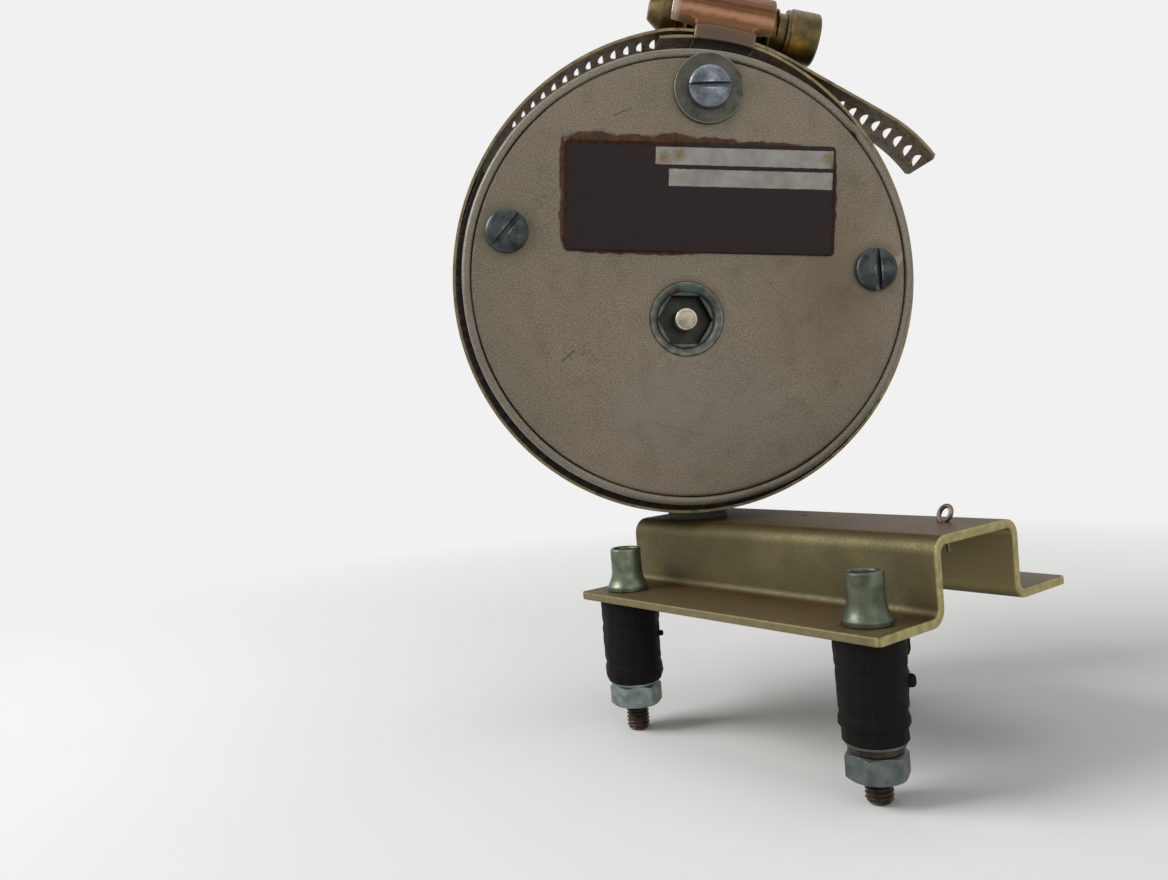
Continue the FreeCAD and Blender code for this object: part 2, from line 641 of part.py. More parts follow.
def make_board():
    """The terminal board, its spacers and the screws through them."""
    flat = outline(rectangle(BOARD_CENTRE, BOARD_SIZE), [0] * 4, on_xz)
    board = moved(flat.extrude(Vector(0, BOARD_THICKNESS, 0)), 0, BOARD_Y)
    spacers = []
    for px, pz in board_spacer_places():
        board = board.cut(along_y(SMALL_SCREW, 0, CAN_DEPTH, px, pz))
        spacers.append(moved(ring(SMALL_HEAD, SMALL_SCREW, BOARD_Y + BOARD_THICKNESS, REAR_WALL_Y), px, 0, pz))
    screws = [small_screw(BOARD_Y, REAR_WALL_Y, px, pz) for px, pz in board_spacer_places()]
    return board, spacers, screws


def make_connector():
    """The rear socket: a square-flanged shell, its insert and the contact pins."""
    x, z = CONNECTOR_PLACE
    half, inside = CONNECTOR_FLANGE / 2, CONNECTOR_RADIUS - CONNECTOR_WALL
    inner_end, mouth = REAR_WALL_Y - CONNECTOR_ROOT, CAN_DEPTH + CONNECTOR_LENGTH
    square = outline([(-half, -half), (half, -half), (half, half), (-half, half)], [CONNECTOR_CORNER] * 4, on_xz)
    flange = moved(square.extrude(Vector(0, CONNECTOR_SHEET, 0)), 0, CAN_DEPTH)
    shell = joined([flange, along_y(CONNECTOR_RADIUS, inner_end, mouth)])
    shell = shell.cut(along_y(inside, 0, 2 * mouth))
    for px, pz in connector_screw_places():
        shell = shell.cut(along_y(SMALL_SCREW, 0, 2 * mouth, px - x, pz - z))
    insert = along_y(inside, inner_end, CAN_DEPTH + INSERT_RISE)
    contacts = []
    for i in range(CONTACTS):
        a = math.radians(90 + 360 * i / CONTACTS)
        px, pz = CONTACT_CIRCLE * math.cos(a), CONTACT_CIRCLE * math.sin(a)
        insert = insert.cut(along_y(CONTACT_RADIUS, 0, mouth, px, pz))
        contact = along_y(CONTACT_RADIUS, inner_end - CONTACT_TAIL, CAN_DEPTH + CONTACT_REACH, px, pz)
        contacts.append(moved(contact, x, 0, z))
    screws = [small_screw(CAN_DEPTH + CONNECTOR_SHEET, REAR_WALL_Y, px, pz, outside=True)
              for px, pz in connector_screw_places()]
    return moved(shell, x, 0, z), moved(insert, x, 0, z), contacts, screws


def make_port():
    """The static pressure fitting: a hexagon with a threaded root and a plain tube end."""
    x, z = PORT_PLACE
    hexagon_end = CAN_DEPTH + PORT_HEXAGON
    body = moved(turned_about(hexagon(PORT_FLATS, PORT_HEXAGON), X_AXIS, -90), 0, CAN_DEPTH)
    root = along_y(PORT_THREAD, REAR_WALL_Y - PORT_ROOT, CAN_DEPTH)
    tube = along_y(PORT_TUBE, hexagon_end, hexagon_end + PORT_LENGTH)
    fitting = joined([body, root, tube])
    return moved(fitting.cut(along_y(PORT_BORE, 0, hexagon_end + 2 * PORT_LENGTH)), x, 0, z)


def sector(outer, inner, start, end, width, first_y):
    """Part of a ring about the can's axis, from start to end degrees clockwise from straight up."""
    piece = turned([(inner, first_y), (outer, first_y), (outer, first_y + width), (inner, first_y + width)],
                   Y_AXIS, degrees=end - start)
    return turned_about(piece, Y_AXIS, start - 90)


def make_liner():
    """The rubber strip under the band, with a hole for the rivet's head."""
    liner = sector(CAN_RADIUS + LINER_THICKNESS, CAN_RADIUS, LINER_START, LINER_END,
                   BAND_WIDTH + 2 * LINER_EXTRA, BAND_FROM_FACE - LINER_EXTRA)
    well = Part.makeCylinder(STRAP_RIVET_HEAD + 0.2, 2 * CAN_RADIUS, Vector(0, BAND_MIDDLE_Y, 0), -Z_AXIS)
    return liner.cut(turned_about(well, Y_AXIS, -CLAMP_SWING))


def band_lift(turn):
    """How far the band stands off the liner, turn in degrees clockwise from the housing."""
    if turn <= SEAT_END:
        return SEAT_LIFT
    if turn <= BAND_DOWN:
        left = math.radians(BAND_DOWN - turn)
        return SEAT_LIFT * (1 - math.cos(left)) / (1 - math.cos(math.radians(BAND_DOWN - SEAT_END)))
    if turn <= BAND_UP:
        return 0.0
    if turn <= BAND_ENTRY:
        gone = math.radians(turn - BAND_UP)
        return ENTRY_LIFT * (1 - math.cos(gone)) / (1 - math.cos(math.radians(BAND_ENTRY - BAND_UP)))
    share = (turn - BAND_ENTRY) / (BAND_EXIT - BAND_ENTRY)
    return ENTRY_LIFT + share * (EXIT_LIFT - ENTRY_LIFT)


def band_point(turn, offset=0.0):
    """A point of the band's middle surface, or offset outwards from it."""
    a = math.radians(turn)
    radius = BAND_RADIUS + band_lift(turn) + offset
    return Vector(radius * math.sin(a), 0, radius * math.cos(a))


def band_arc(start, end, offset):
    turns = (start, (start + end) / 2, end)
    return Part.Arc(*[band_point(turn, offset) for turn in turns]).toShape()


def band_curve(start, end, steps, offset):
    """A smooth curve through points of the strip, square to the can's radius at both ends."""
    points = [band_point(start + (end - start) * i / steps, offset) for i in range(steps + 1)]
    tangents = [Vector(math.cos(math.radians(turn)), 0, -math.sin(math.radians(turn))) for turn in (start, end)]
    spline = Part.BSplineCurve()
    spline.interpolate(Points=points, InitialTangent=tangents[0], FinalTangent=tangents[1])
    return spline.toShape()


def band_side(offset):
    """One face of the strip as edges, with its two end points."""
    leave = band_point(BAND_EXIT, offset)
    end = leave + tail_direction() * TAIL_LENGTH
    edges = [band_arc(BAND_START, SEAT_END, offset), band_curve(SEAT_END, BAND_DOWN, 8, offset),
             band_arc(BAND_DOWN, BAND_UP, offset), band_curve(BAND_UP, BAND_EXIT, 12, offset),
             Part.LineSegment(leave, end).toShape()]
    return edges, band_point(BAND_START, offset), end


def tail_direction():
    a = math.radians(BAND_EXIT)
    return Vector(math.cos(a), 0, -math.sin(a))


def slot_cutter():
    """The D-shaped slot, its bow drawn with three straight sides, cut along Z; its length lies along Y."""
    half, bow = SLOT_LENGTH / 2, SLOT_LENGTH / 4
    back, front = -SLOT_DEPTH / 2, SLOT_DEPTH / 2
    corners = [(back, -half), (front, -bow), (front, bow), (back, half)]
    face = Part.Face(Part.makePolygon([Vector(x, y, -2) for x, y in corners + corners[:1]]))
    return turned_about(face.extrude(Vector(0, 0, 4)), Z_AXIS, -SLOT_SLANT)


def slot_places():
    """Slots at an even pitch along the strip, counted from the middle of the housing."""
    leave = band_point(BAND_EXIT)
    turn = 360.0
    while turn > FIRST_SLOT:
        yield band_point(turn), turn
        turn -= math.degrees(SLOT_PITCH / band_point(turn).Length)
    turn = 360.0
    while turn < BAND_EXIT:
        last = turn
        turn += math.degrees(SLOT_PITCH / band_point(turn).Length)
        if turn < BAND_EXIT:
            yield band_point(turn), turn
    along = SLOT_PITCH - math.radians(BAND_EXIT - last) * leave.Length
    while along < TAIL_LENGTH - 1.5:
        yield leave + tail_direction() * along, BAND_EXIT
        along += SLOT_PITCH


def make_band():
    """The clamp band: one strip from its seat under the housing, round the can, through the housing
    and out as a free tail, with slots for the worm."""
    outer, outer_start, outer_end = band_side(BAND_THICKNESS / 2)
    inner, inner_start, inner_end = band_side(-BAND_THICKNESS / 2)
    ends = [Part.LineSegment(inner_start, outer_start).toShape(),
            Part.LineSegment(inner_end, outer_end).toShape()]
    face = Part.Face(Part.Wire(Part.__sortEdges__(outer + inner + ends)))
    band = moved(face.extrude(Vector(0, BAND_WIDTH, 0)), 0, BAND_FROM_FACE)
    cutters = []
    for point, turn in slot_places():
        cutter = turned_about(slot_cutter(), Y_AXIS, turn)
        cutters.append(moved(cutter, point.x, BAND_MIDDLE_Y, point.z))
    for side, y in ((1, BAND_FROM_FACE), (-1, BAND_FROM_FACE + BAND_WIDTH)):
        corner = Part.makePolygon([Vector(-4, 0, 0), Vector(4, 0, 0), Vector(4, side * 5, 0), Vector(-4, 0, 0)])
        wedge = moved(Part.Face(corner).extrude(Vector(0, 0, 6)), 0, 0, -3)
        wedge = turned_about(wedge, Y_AXIS, BAND_EXIT)
        tip = band_point(BAND_EXIT) + tail_direction() * (TAIL_LENGTH - 3.0)
        cutters.append(moved(wedge, tip.x, y - side * 0.6, tip.z))
    rivet = Part.makeCylinder(STRAP_RIVET_RADIUS, 2 * CAN_RADIUS, Vector(0, BAND_MIDDLE_Y, 0), -Z_AXIS)
    cutters.append(turned_about(rivet, Y_AXIS, -CLAMP_SWING))
    return band.cut(cutters)


def make_clamp_housing():
    """The pressed housing: a barrel over the worm, and a foot that wraps both layers of the band."""
    front, back = BAND_FROM_FACE, BAND_FROM_FACE + BAND_WIDTH
    barrel_outer, long = WORM_RADIUS + HOUSING_SHEET, 2 * BARREL_LENGTH
    bottom = BAND_RADIUS + SEAT_LIFT - BAND_THICKNESS / 2
    top = BAND_RADIUS + ENTRY_LIFT + BAND_THICKNESS / 2
    axis = Vector(BARREL_START, BAND_MIDDLE_Y, WORM_OFFSET)
    barrel = Part.makeCylinder(barrel_outer, BARREL_LENGTH, axis, X_AXIS)
    neck_low, neck_high = HOUSING_NECK
    walls = bar((neck_high - neck_low, 2 * barrel_outer, WORM_OFFSET - bottom),
                (neck_low, BAND_MIDDLE_Y - barrel_outer, bottom))
    foot = sector(top + HOUSING_SHEET, bottom - HOUSING_LIP, *FOOT_TURNS,
                  BAND_WIDTH + 2 * HOUSING_SHEET, front - HOUSING_SHEET)
    shape = joined([barrel, walls.cut(along_y(bottom, 0, CAN_DEPTH)), foot])
    layers = sector(top, bottom, -20.0, 20.0, BAND_WIDTH, front)
    inside = Part.makeCylinder(WORM_RADIUS, long, Vector(-long / 2, BAND_MIDDLE_Y, WORM_OFFSET), X_AXIS)
    throat = bar((long, 2 * WORM_RADIUS, WORM_OFFSET - top), (-long / 2, BAND_MIDDLE_Y - WORM_RADIUS, top))
    cuts = [layers, inside, throat]
    low = bottom - 2 * HOUSING_SHEET
    for start in (neck_low - long, neck_high):
        under = (long, 2 * BAND_WIDTH, WORM_OFFSET - BARREL_UNDERCUT - low)
        cuts.append(bar(under, (start, BAND_MIDDLE_Y - BAND_WIDTH, low)))
    return shape.cut(cuts)


def make_worm():
    """The worm screw: rings at the slots' pitch, a riveted end and a slotted round head."""
    first, last = HEAD_SPAN
    points = [(0, -WORM_END), (0.5 * WORM_CORE, -WORM_END), (WORM_CORE, 3.0 - WORM_END),
              (WORM_CORE, -(WORM_RINGS / 2) * SLOT_PITCH)]
    for k in range(WORM_RINGS):
        at = (k - (WORM_RINGS - 1) / 2) * SLOT_PITCH
        points += [(WORM_RADIUS, at), (WORM_CORE, at + SLOT_PITCH / 2)]
    points += [(WORM_CORE, first), (HEAD_RADIUS, first), (HEAD_RADIUS, last - HEAD_BEVEL),
               (HEAD_RADIUS - HEAD_BEVEL, last), (0, last)]
    worm = turned(points, Y_AXIS)
    slot = bar((HEAD_SLOT, 3.0, 3 * HEAD_RADIUS), (-HEAD_SLOT / 2, last - 1.4 * HEAD_SLOT, -1.5 * HEAD_RADIUS))
    worm = worm.cut(slot)
    worm = turned_about(worm, Z_AXIS, -90)
    return moved(worm, 0, BAND_MIDDLE_Y, WORM_OFFSET)


def make_pad_and_rivet():
    """The pad between the band and the hat's top, and the rivet that holds the band down on it."""
    hat = -(CAN_AXIS_Z - HAT_TOP)
    liner_outer = CAN_RADIUS + LINER_THICKNESS
    middle = Vector(0, BAND_MIDDLE_Y, 0)
    pad = moved(Part.makeCylinder(PAD_RADIUS, 3 * PAD_THICKNESS, middle), 0, 0, hat)
    hole = moved(Part.makeCylinder(STRAP_RIVET_RADIUS, 5 * PAD_THICKNESS, middle), 0, 0, hat - PAD_THICKNESS)
    pad = pad.cut([along_y(liner_outer + BAND_THICKNESS, 0, CAN_DEPTH), hole])
    head = moved(Part.makeCylinder(STRAP_RIVET_HEAD, 5, middle), 0, 0, -liner_outer - 1)
    head = head.common(ring(liner_outer, CAN_RADIUS + RIVET_CLEARANCE, 0, CAN_DEPTH))
    shank = moved(Part.makeCylinder(STRAP_RIVET_RADIUS, CAN_RADIUS, middle), 0, 0, hat - SHEET)
    shank = shank.common(ring(2 * CAN_RADIUS, CAN_RADIUS + RIVET_CLEARANCE, 0, CAN_DEPTH))
    tail = turned([(0, 0), (STRAP_RIVET_TAIL, 0), (0.8 * STRAP_RIVET_TAIL, -1.0),
                   (0.5 * STRAP_RIVET_TAIL, -1.3), (0, -1.3)], Z_AXIS)
    return pad, joined([head, shank, moved(tail, 0, BAND_MIDDLE_Y, hat - SHEET)])


def make_can_nodes():
    """Every piece that turns with the can, in the can's frame."""
    capsule_front, capsule_rear = make_capsule()
    clutch_body, clutch_coil = make_clutch()
    core, pickup_coil, foot = make_pickup()
    board, spacers, board_screws = make_board()
    shell, insert, pins, connector_screws = make_connector()
    plate_screws = [small_screw(REAR_WALL_Y - INNER_PLATE, CAN_DEPTH, x, z) for x, z in inner_screw_places()]
    return {
        "can_housing": make_can_housing(), "cover_plate": make_cover(), "cover_seal": make_seal(),
        "cover_screws": make_cover_screws(), "face_washer": make_face_washer(), "nameplate": make_nameplate(),
        "adjuster_bush": make_adjuster(), "capsule_post": make_post(), "capsule_front": capsule_front,
        "capsule_rear": capsule_rear, "capsule_stem": make_stem(), "clutch_disc": make_armature(),
        "clutch_magnet": clutch_body, "clutch_coil": clutch_coil, "pickup_vane": make_vane(),
        "pickup_core": core, "pickup_coil": pickup_coil, "pickup_foot": foot,
        "inner_plate": make_inner_plate(), "inner_screws": plate_screws, "terminal_board": board,
        "board_spacers": spacers, "board_screws": board_screws, "connector_shell": shell,
        "connector_insert": insert, "connector_pins": pins, "connector_screws": connector_screws,
        "static_port": make_port(),
    }


def solids_of(shape):
    """A node as a list of its solids."""
    shapes = shape if isinstance(shape, list) else [shape]
    return [solid for piece in shapes for solid in piece.Solids]


def build():
    """All nodes in the part's frame, each a list of solids."""
    nodes = {"bracket": make_bracket(), "split_pin": make_split_pin()}
    nodes.update(make_mounts())
    for name, shape in make_can_nodes().items():
        nodes[name] = [place_can(solid) for solid in solids_of(shape)]
    pad, rivet = make_pad_and_rivet()
    nodes["clamp_pad"] = place_can(pad, rolled=False)
    nodes["clamp_rivet"] = place_can(rivet, rolled=False)
    for name, maker in (("clamp_liner", make_liner), ("clamp_band", make_band),
                        ("clamp_housing", make_clamp_housing), ("clamp_screw", make_worm)):
        nodes[name] = [place_clamp(solid) for solid in solids_of(maker())]
    return {name: solids_of(shape) for name, shape in nodes.items()}


os.makedirs("parts", exist_ok=True)
for node, solids in build().items():
    shape = solids[0] if len(solids) == 1 else Part.makeCompound(solids)
    shape.exportStep("parts/" + node + ".step")
    print(node, len(solids), "solid(s)", round(sum(s.Volume for s in solids), 1), "mm3", shape.isValid())
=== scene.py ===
import math

import bmesh
import bpy
import numpy as np
from mathutils import Matrix, Vector


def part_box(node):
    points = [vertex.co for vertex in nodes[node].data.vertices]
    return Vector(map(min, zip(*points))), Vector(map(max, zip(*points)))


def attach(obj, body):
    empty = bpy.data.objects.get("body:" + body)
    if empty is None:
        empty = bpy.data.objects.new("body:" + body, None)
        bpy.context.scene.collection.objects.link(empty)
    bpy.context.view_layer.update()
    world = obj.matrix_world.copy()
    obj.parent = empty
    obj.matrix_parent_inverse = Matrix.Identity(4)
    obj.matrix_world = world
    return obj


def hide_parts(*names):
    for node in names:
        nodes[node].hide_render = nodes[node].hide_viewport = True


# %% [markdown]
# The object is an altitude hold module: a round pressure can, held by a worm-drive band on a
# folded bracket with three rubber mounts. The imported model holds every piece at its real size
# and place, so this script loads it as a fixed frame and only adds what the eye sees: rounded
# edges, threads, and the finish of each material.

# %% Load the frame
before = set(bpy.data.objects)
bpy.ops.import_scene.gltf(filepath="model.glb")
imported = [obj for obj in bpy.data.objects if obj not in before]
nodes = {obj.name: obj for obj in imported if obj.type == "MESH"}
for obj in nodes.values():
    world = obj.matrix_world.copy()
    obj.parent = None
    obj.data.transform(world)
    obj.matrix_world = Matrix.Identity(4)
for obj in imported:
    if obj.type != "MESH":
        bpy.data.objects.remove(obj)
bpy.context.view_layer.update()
MM = 0.001


def box_of(node):
    """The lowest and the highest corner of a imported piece, in mm."""
    return [np.array(corner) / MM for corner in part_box(node)]


def shown(name, data):
    """A new object with this data, linked to the scene."""
    made = bpy.data.objects.new(name, data)
    bpy.context.scene.collection.objects.link(made)
    return made


# %% [markdown]
# The can is turned on the bracket and rolled a little in its band. Anything drawn on the can
# is worked out in the can's own frame, with the middle of its face at zero, x to the right,
# y into the can and z up, and one function carries whole arrays of points to the part's
# frame. The clamp's pieces use the same frame, swung about the can's axis until the worm's
# housing is straight up.

# %% Frames of the can and the clamp
CAN_TURN = math.radians(55.3)
CAN_ROLL = math.radians(5.2)
CLAMP_SWING = math.radians(14.0)
FACE_PLACE = (14.4, 11.4)
can_low, can_high = box_of("can_housing")
CAN_RADIUS = (can_high[2] - can_low[2]) / 2
CAN_AXIS_Z = (can_high[2] + can_low[2]) / 2


def about_y(angle):
    """Rotation about y: x' = x cos + z sin, z' = z cos - x sin."""
    c, s = math.cos(angle), math.sin(angle)
    return np.array([[c, 0, s], [0, 1, 0], [-s, 0, c]])


def about_z(angle):
    """Rotation about z: x' = x cos - y sin, y' = x sin + y cos."""
    c, s = math.cos(angle), math.sin(angle)
    return np.array([[c, -s, 0], [s, c, 0], [0, 0, 1]])


def on_can(points, roll=CAN_ROLL):
    """From the can's frame in mm to the part's frame in mm: roll, turn, then shift to the face."""
    turned = points @ about_y(roll).T @ about_z(CAN_TURN).T
    return turned + np.array([*FACE_PLACE, CAN_AXIS_Z])


def on_clamp(points):
    """From the clamp's frame, worm straight up, to the part's frame in mm."""
    return on_can(points, CLAMP_SWING)


print("can radius", round(CAN_RADIUS, 2), "mm, axis at height", round(CAN_AXIS_Z, 2), "mm")

# %% [markdown]
# The camera stands where the photograph was taken. Its place, aim and focal length were
# solved once from straight edges of the bracket, and are kept here as plain sizes: the
# position in millimetres in the part's frame, the direction it looks in, and which way is
# up. The picture is 36 mm wide in Blender's terms, so the focal length in pixels becomes
# a lens in millimetres.

# %% Camera
PICTURE_WIDTH, SENSOR_WIDTH = 1168, 36.0
FOCAL_PIXELS = 997.5
CAMERA_PLACE = (163.52, -136.99, 69.53)
CAMERA_AIM = (-0.78679, 0.61639, -0.03199)
CAMERA_DOWN = (-0.02335, -0.08152, -0.99640)

camera_data = bpy.data.cameras.new("camera")
camera_data.sensor_width = SENSOR_WIDTH
camera_data.lens = SENSOR_WIDTH * FOCAL_PIXELS / PICTURE_WIDTH
camera_data.clip_start, camera_data.clip_end = 0.005, 20.0
camera = shown("camera", camera_data)
aim, down = Vector(CAMERA_AIM), Vector(CAMERA_DOWN)
turn = Matrix((aim.cross(-down), -down, -aim)).transposed()
camera.matrix_world = Matrix.Translation(Vector(CAMERA_PLACE) * MM) @ turn.to_4x4()
bpy.context.scene.camera = camera
print("lens", round(camera_data.lens, 2), "mm")

# %% [markdown]
# Every finish below is a small node tree. Colours are written as the hex values a painter
# would pick, so one function turns them to the linear values that the renderer adds up. One
# more function adds a node and gives each of its inputs a value, a colour or another node's
# output, so a recipe reads from top to bottom. A pattern's output knows its own tree, so the
# functions only pass outputs on. Patterns read Object coordinates, which are metres here, so
# a grain of g millimetres takes a noise scale of 1000 / g.

# %% Colour and node helpers
def linear(hex_code):
    """sRGB hex to linear RGBA: ((c + 0.055) / 1.055) to the power 2.4, or c / 12.92 near black."""
    parts = [int(hex_code[i:i + 2], 16) / 255 for i in (1, 3, 5)]
    return (*[((c + 0.055) / 1.055) ** 2.4 if c > 0.04045 else c / 12.92 for c in parts], 1.0)


def feed(socket, value):
    """Gives an input another node's output, a colour in hex, or a plain value."""
    if isinstance(value, bpy.types.NodeSocket):
        socket.id_data.links.new(value, socket)
    else:
        socket.default_value = linear(value) if isinstance(value, str) else value


def add(tree, kind, inputs=(), **properties):
    """A new node with its properties set by name, and its inputs fed by name or number."""
    node = tree.nodes.new(kind)
    for name, value in properties.items():
        setattr(node, name, value)
    for name, value in dict(inputs).items():
        feed(node.inputs[name], value)
    return node


def maths(operation, first, second=0.0):
    """One sum on two numbers, of which the first is an output."""
    return add(first.id_data, "ShaderNodeMath", {0: first, 1: second}, operation=operation).outputs[0]


def times(first, second):
    """The product of two fields, which is 1 only where both are."""
    return maths("MULTIPLY", first, second)


def most(*fields):
    """The largest of several fields."""
    made = fields[0]
    for field in fields[1:]:
        made = maths("MAXIMUM", made, field)
    return made


def vector(operation, first, second=(0.0, 0.0, 0.0)):
    """One sum on vectors, of which the first is an output: a vector, or a number where the sum gives one."""
    inputs = {0: first, "Scale" if operation == "SCALE" else 1: second}
    node = add(first.id_data, "ShaderNodeVectorMath", inputs, operation=operation)
    return node.outputs["Value" if operation in ("LENGTH", "DISTANCE", "DOT_PRODUCT") else "Vector"]


def parts_of(field):
    """The X, Y and Z outputs of a vector."""
    return add(field.id_data, "ShaderNodeSeparateXYZ", {0: field}).outputs


def per_mm(size):
    """The noise scale of a pattern whose grains are size millimetres wide."""
    return 1.0 / (size * MM)


def noise(coords, size, detail=2.0, rough=0.5):
    """A smooth random field, 0 to 1, whose lumps are size millimetres wide."""
    inputs = {"Vector": coords, "Scale": per_mm(size), "Detail": detail, "Roughness": rough}
    return add(coords.id_data, "ShaderNodeTexNoise", inputs).outputs["Fac"]


def between(value, low, high, start=0.0, end=1.0):
    """Stretches the part of a field between low and high to start..end, and clips the rest."""
    inputs = {"Value": value, "From Min": low, "From Max": high, "To Min": start, "To Max": end}
    return add(value.id_data, "ShaderNodeMapRange", inputs).outputs["Result"]


def spread(field, start, end):
    """A field from 0 to 1 stretched to start..end."""
    return between(field, 0.0, 1.0, start, end)


def patches(coords, size, detail, low=0.35, high=0.65, rough=0.5):
    """Noise with its middle, from low to high, stretched to 0..1: clouds when wide, spots when narrow."""
    return between(noise(coords, size, detail, rough), low, high)


def mixed(share, first, second):
    """Blends two colours, each a hex code or an output, by a share from 0 to 1."""
    inputs = {0: share, 6: first, 7: second}
    return add(share.id_data, "ShaderNodeMix", inputs, data_type="RGBA").outputs[2]


def layered(base, *layers):
    """Lays tones over a colour in turn: each layer is a field, its tone and its strength."""
    for field, tone, strength in layers:
        base = mixed(times(field, strength), base, tone)
    return base


def marked(coords, name):
    """The share, 0 to 1, that a piece's mesh stores under a name, in the tree of these coordinates."""
    return add(coords.id_data, "ShaderNodeAttribute", attribute_name=name).outputs["Fac"]


def moved_by(coords, centre):
    """Coordinates counted from a centre in millimetres."""
    return vector("SUBTRACT", coords, Vector(centre) * MM)


def framed_coords(coords, roll):
    """Object coordinates carried back to a frame that on_can or on_clamp comes from, still in metres."""
    back = (about_z(CAN_TURN) @ about_y(roll)).T
    inputs = {"Vector": moved_by(coords, (*FACE_PLACE, CAN_AXIS_Z)),
              "Rotation": Matrix(back.tolist()).to_euler("XYZ")}
    return add(coords.id_data, "ShaderNodeMapping", inputs).outputs["Vector"]


def near(coords, centre, inner, outer, weights=(1.0, 0.0, 1.0)):
    """1 within inner of a point, falling to 0 at outer, in millimetres that are weighed per axis."""
    weighed = vector("MULTIPLY", moved_by(coords, centre), weights)
    return between(vector("LENGTH", weighed), inner * MM, outer * MM, 1.0, 0.0)


def shaken(coords, size, amount):
    """Coordinates pushed about by up to half of amount millimetres, in lumps of size."""
    inputs = {"Vector": coords, "Scale": per_mm(size), "Detail": 3.0}
    push = add(coords.id_data, "ShaderNodeTexNoise", inputs).outputs["Color"]
    centred = vector("SUBTRACT", push, (0.5, 0.5, 0.5))
    return vector("ADD", coords, vector("SCALE", centred, amount * MM))


def shader_of(material):
    """The Principled shader of a material."""
    return material.node_tree.nodes["Principled BSDF"]


def new_finish(name, metallic=0.0, roughness=0.5, specular=0.5, roll=None):
    """A material with its constants, and its coordinates: the object's, or a rolled frame's."""
    material = bpy.data.materials.new(name)
    material.use_nodes = True
    for socket, value in (("Metallic", metallic), ("Roughness", roughness), ("Specular IOR Level", specular)):
        feed(shader_of(material).inputs[socket], value)
    coords = add(material.node_tree, "ShaderNodeTexCoord").outputs["Object"]
    return material, coords if roll is None else framed_coords(coords, roll)


def surfaced(material, base, rough, height, depth, strength=0.5):
    """Feeds a material's shader: its colour, its roughness, and a height that dents it by depth mm."""
    inputs = {"Height": height, "Distance": depth * MM, "Strength": strength}
    dents = add(material.node_tree, "ShaderNodeBump", inputs).outputs["Normal"]
    for socket, value in (("Base Color", base), ("Roughness", rough), ("Normal", dents)):
        feed(shader_of(material).inputs[socket], value)
    return material


print("helpers ready, rust brown in linear light:", [round(c, 3) for c in linear("#46281A")])

# %% [markdown]
# The bracket is aluminium or steel sheet with an olive chromate coat: a thin chemical film
# that is faintly metallic, with cloudy yellow and green tints. It is brown on the upper
# faces, where dirt and light have aged it, and bright at the sheared edges. Where the hat's
# far wall faces the front from inside, it is painted lighter as painted bounce light. A very
# fine grain, too small to see, is drawn at a third of a millimetre so that it shows.

# %% Olive chromate sheet
FAR_WALL, CUT_END = 32.0, 0.6
STAINS = [(34.7, 34.3, 1.1), (37.0, 33.2, 0.7), (33.0, 34.9, 0.6)]


def olive_chromate():
    """Two olive tones by noise, brown by how far a face looks up, painted bounce light on the hat's inner far
    wall, bare where edges are marked.
    """
    material, coords = new_finish("olive chromate on sheet metal", 0.35, specular=0.15)
    normal = parts_of(add(coords.id_data, "ShaderNodeNewGeometry").outputs["Normal"])
    place = parts_of(coords)
    clouds = patches(coords, 9.0, 4.0)
    grain = patches(coords, 0.35, 2.0, 0.3, 0.7)
    aged = times(between(normal["Z"], 0.6, 0.95), spread(clouds, 0.65, 0.95))
    # painted bounce light: the inner side of the hat's far wall, facing the front, is painted a lighter olive
    painted_bounce_light = times(between(normal["Y"], -0.6, -0.9), between(place["Y"], FAR_WALL * MM, (FAR_WALL + 1) * MM))
    base = layered(mixed(clouds, "#60583D", "#716949"), (grain, "#4F4A33", 0.5), (aged, "#48351F", 1.0),
                   (painted_bounce_light, "#91855B", 0.9))
    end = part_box("bracket")[1].x
    cut_end = mixed(between(place["X"], end - 2 * CUT_END * MM, end - CUT_END * MM), "#7D7353", "#B3A772")
    rubbed = times(marked(coords, "edge"), spread(patches(coords, 1.5, 3.0, 0.35, 0.6), 0.6, 1.0))
    base = mixed(rubbed, base, cut_end)
    for x, y, reach in STAINS:
        spot = near(shaken(coords, 0.8, 1.2), (x, y, 0), 0.3 * reach, reach, (1.0, 1.0, 0.0))
        base = layered(base, (times(spot, between(normal["Z"], 0.6, 0.9)), "#2A2216", 0.8))
    return surfaced(material, base, spread(grain, 0.42, 0.6), grain, 0.02)


olive = olive_chromate()
print(olive.name)

# %% [markdown]
# New pieces are surfaces on a grid: one array of points for all rows and columns, and one
# array of quads. A turned piece is a profile of radius and height carried round an axis. A
# folded or drawn one is a section carried along a line. Corners of a profile are arcs, so
# that every edge catches the light as a real edge does.

# %% Mesh helpers
def quads(rows, columns, closed_rows=False, closed_columns=True):
    """Corner numbers of a grid's faces: each point with its right, upper right and upper neighbour."""
    i, j = np.meshgrid(np.arange(rows - (not closed_rows)), np.arange(columns - (not closed_columns)),
                       indexing="ij")
    over, beside = (i + 1) % rows, (j + 1) % columns
    corners = [i * columns + j, i * columns + beside, over * columns + beside, over * columns + j]
    return np.stack(corners, -1).reshape(-1, 4)


def capped(rows, columns):
    """The faces of a grid whose first and last rows are each closed by one face."""
    last = (rows - 1) * columns
    return quads(rows, columns).tolist() + [list(range(columns))[::-1], list(range(last, last + columns))]


def angles(count):
    """A full turn in even steps, in radians."""
    return np.linspace(0, 2 * np.pi, count, endpoint=False)


def around(radius, angle, height, along="z"):
    """Points about an axis: x = r cos a, y = r sin a, and the height on the axis z, or y if asked."""
    radius, angle, height = np.broadcast_arrays(radius, angle, height)
    x, across = radius * np.cos(angle), radius * np.sin(angle)
    return np.stack([x, across, height] if along == "z" else [x, height, across], -1).reshape(-1, 3)


def hexagon(angle, flat):
    """The radius of a hexagon: half its width across flats over cos of the angle from the nearest flat."""
    return flat / np.cos(angle % (np.pi / 3) - np.pi / 6)


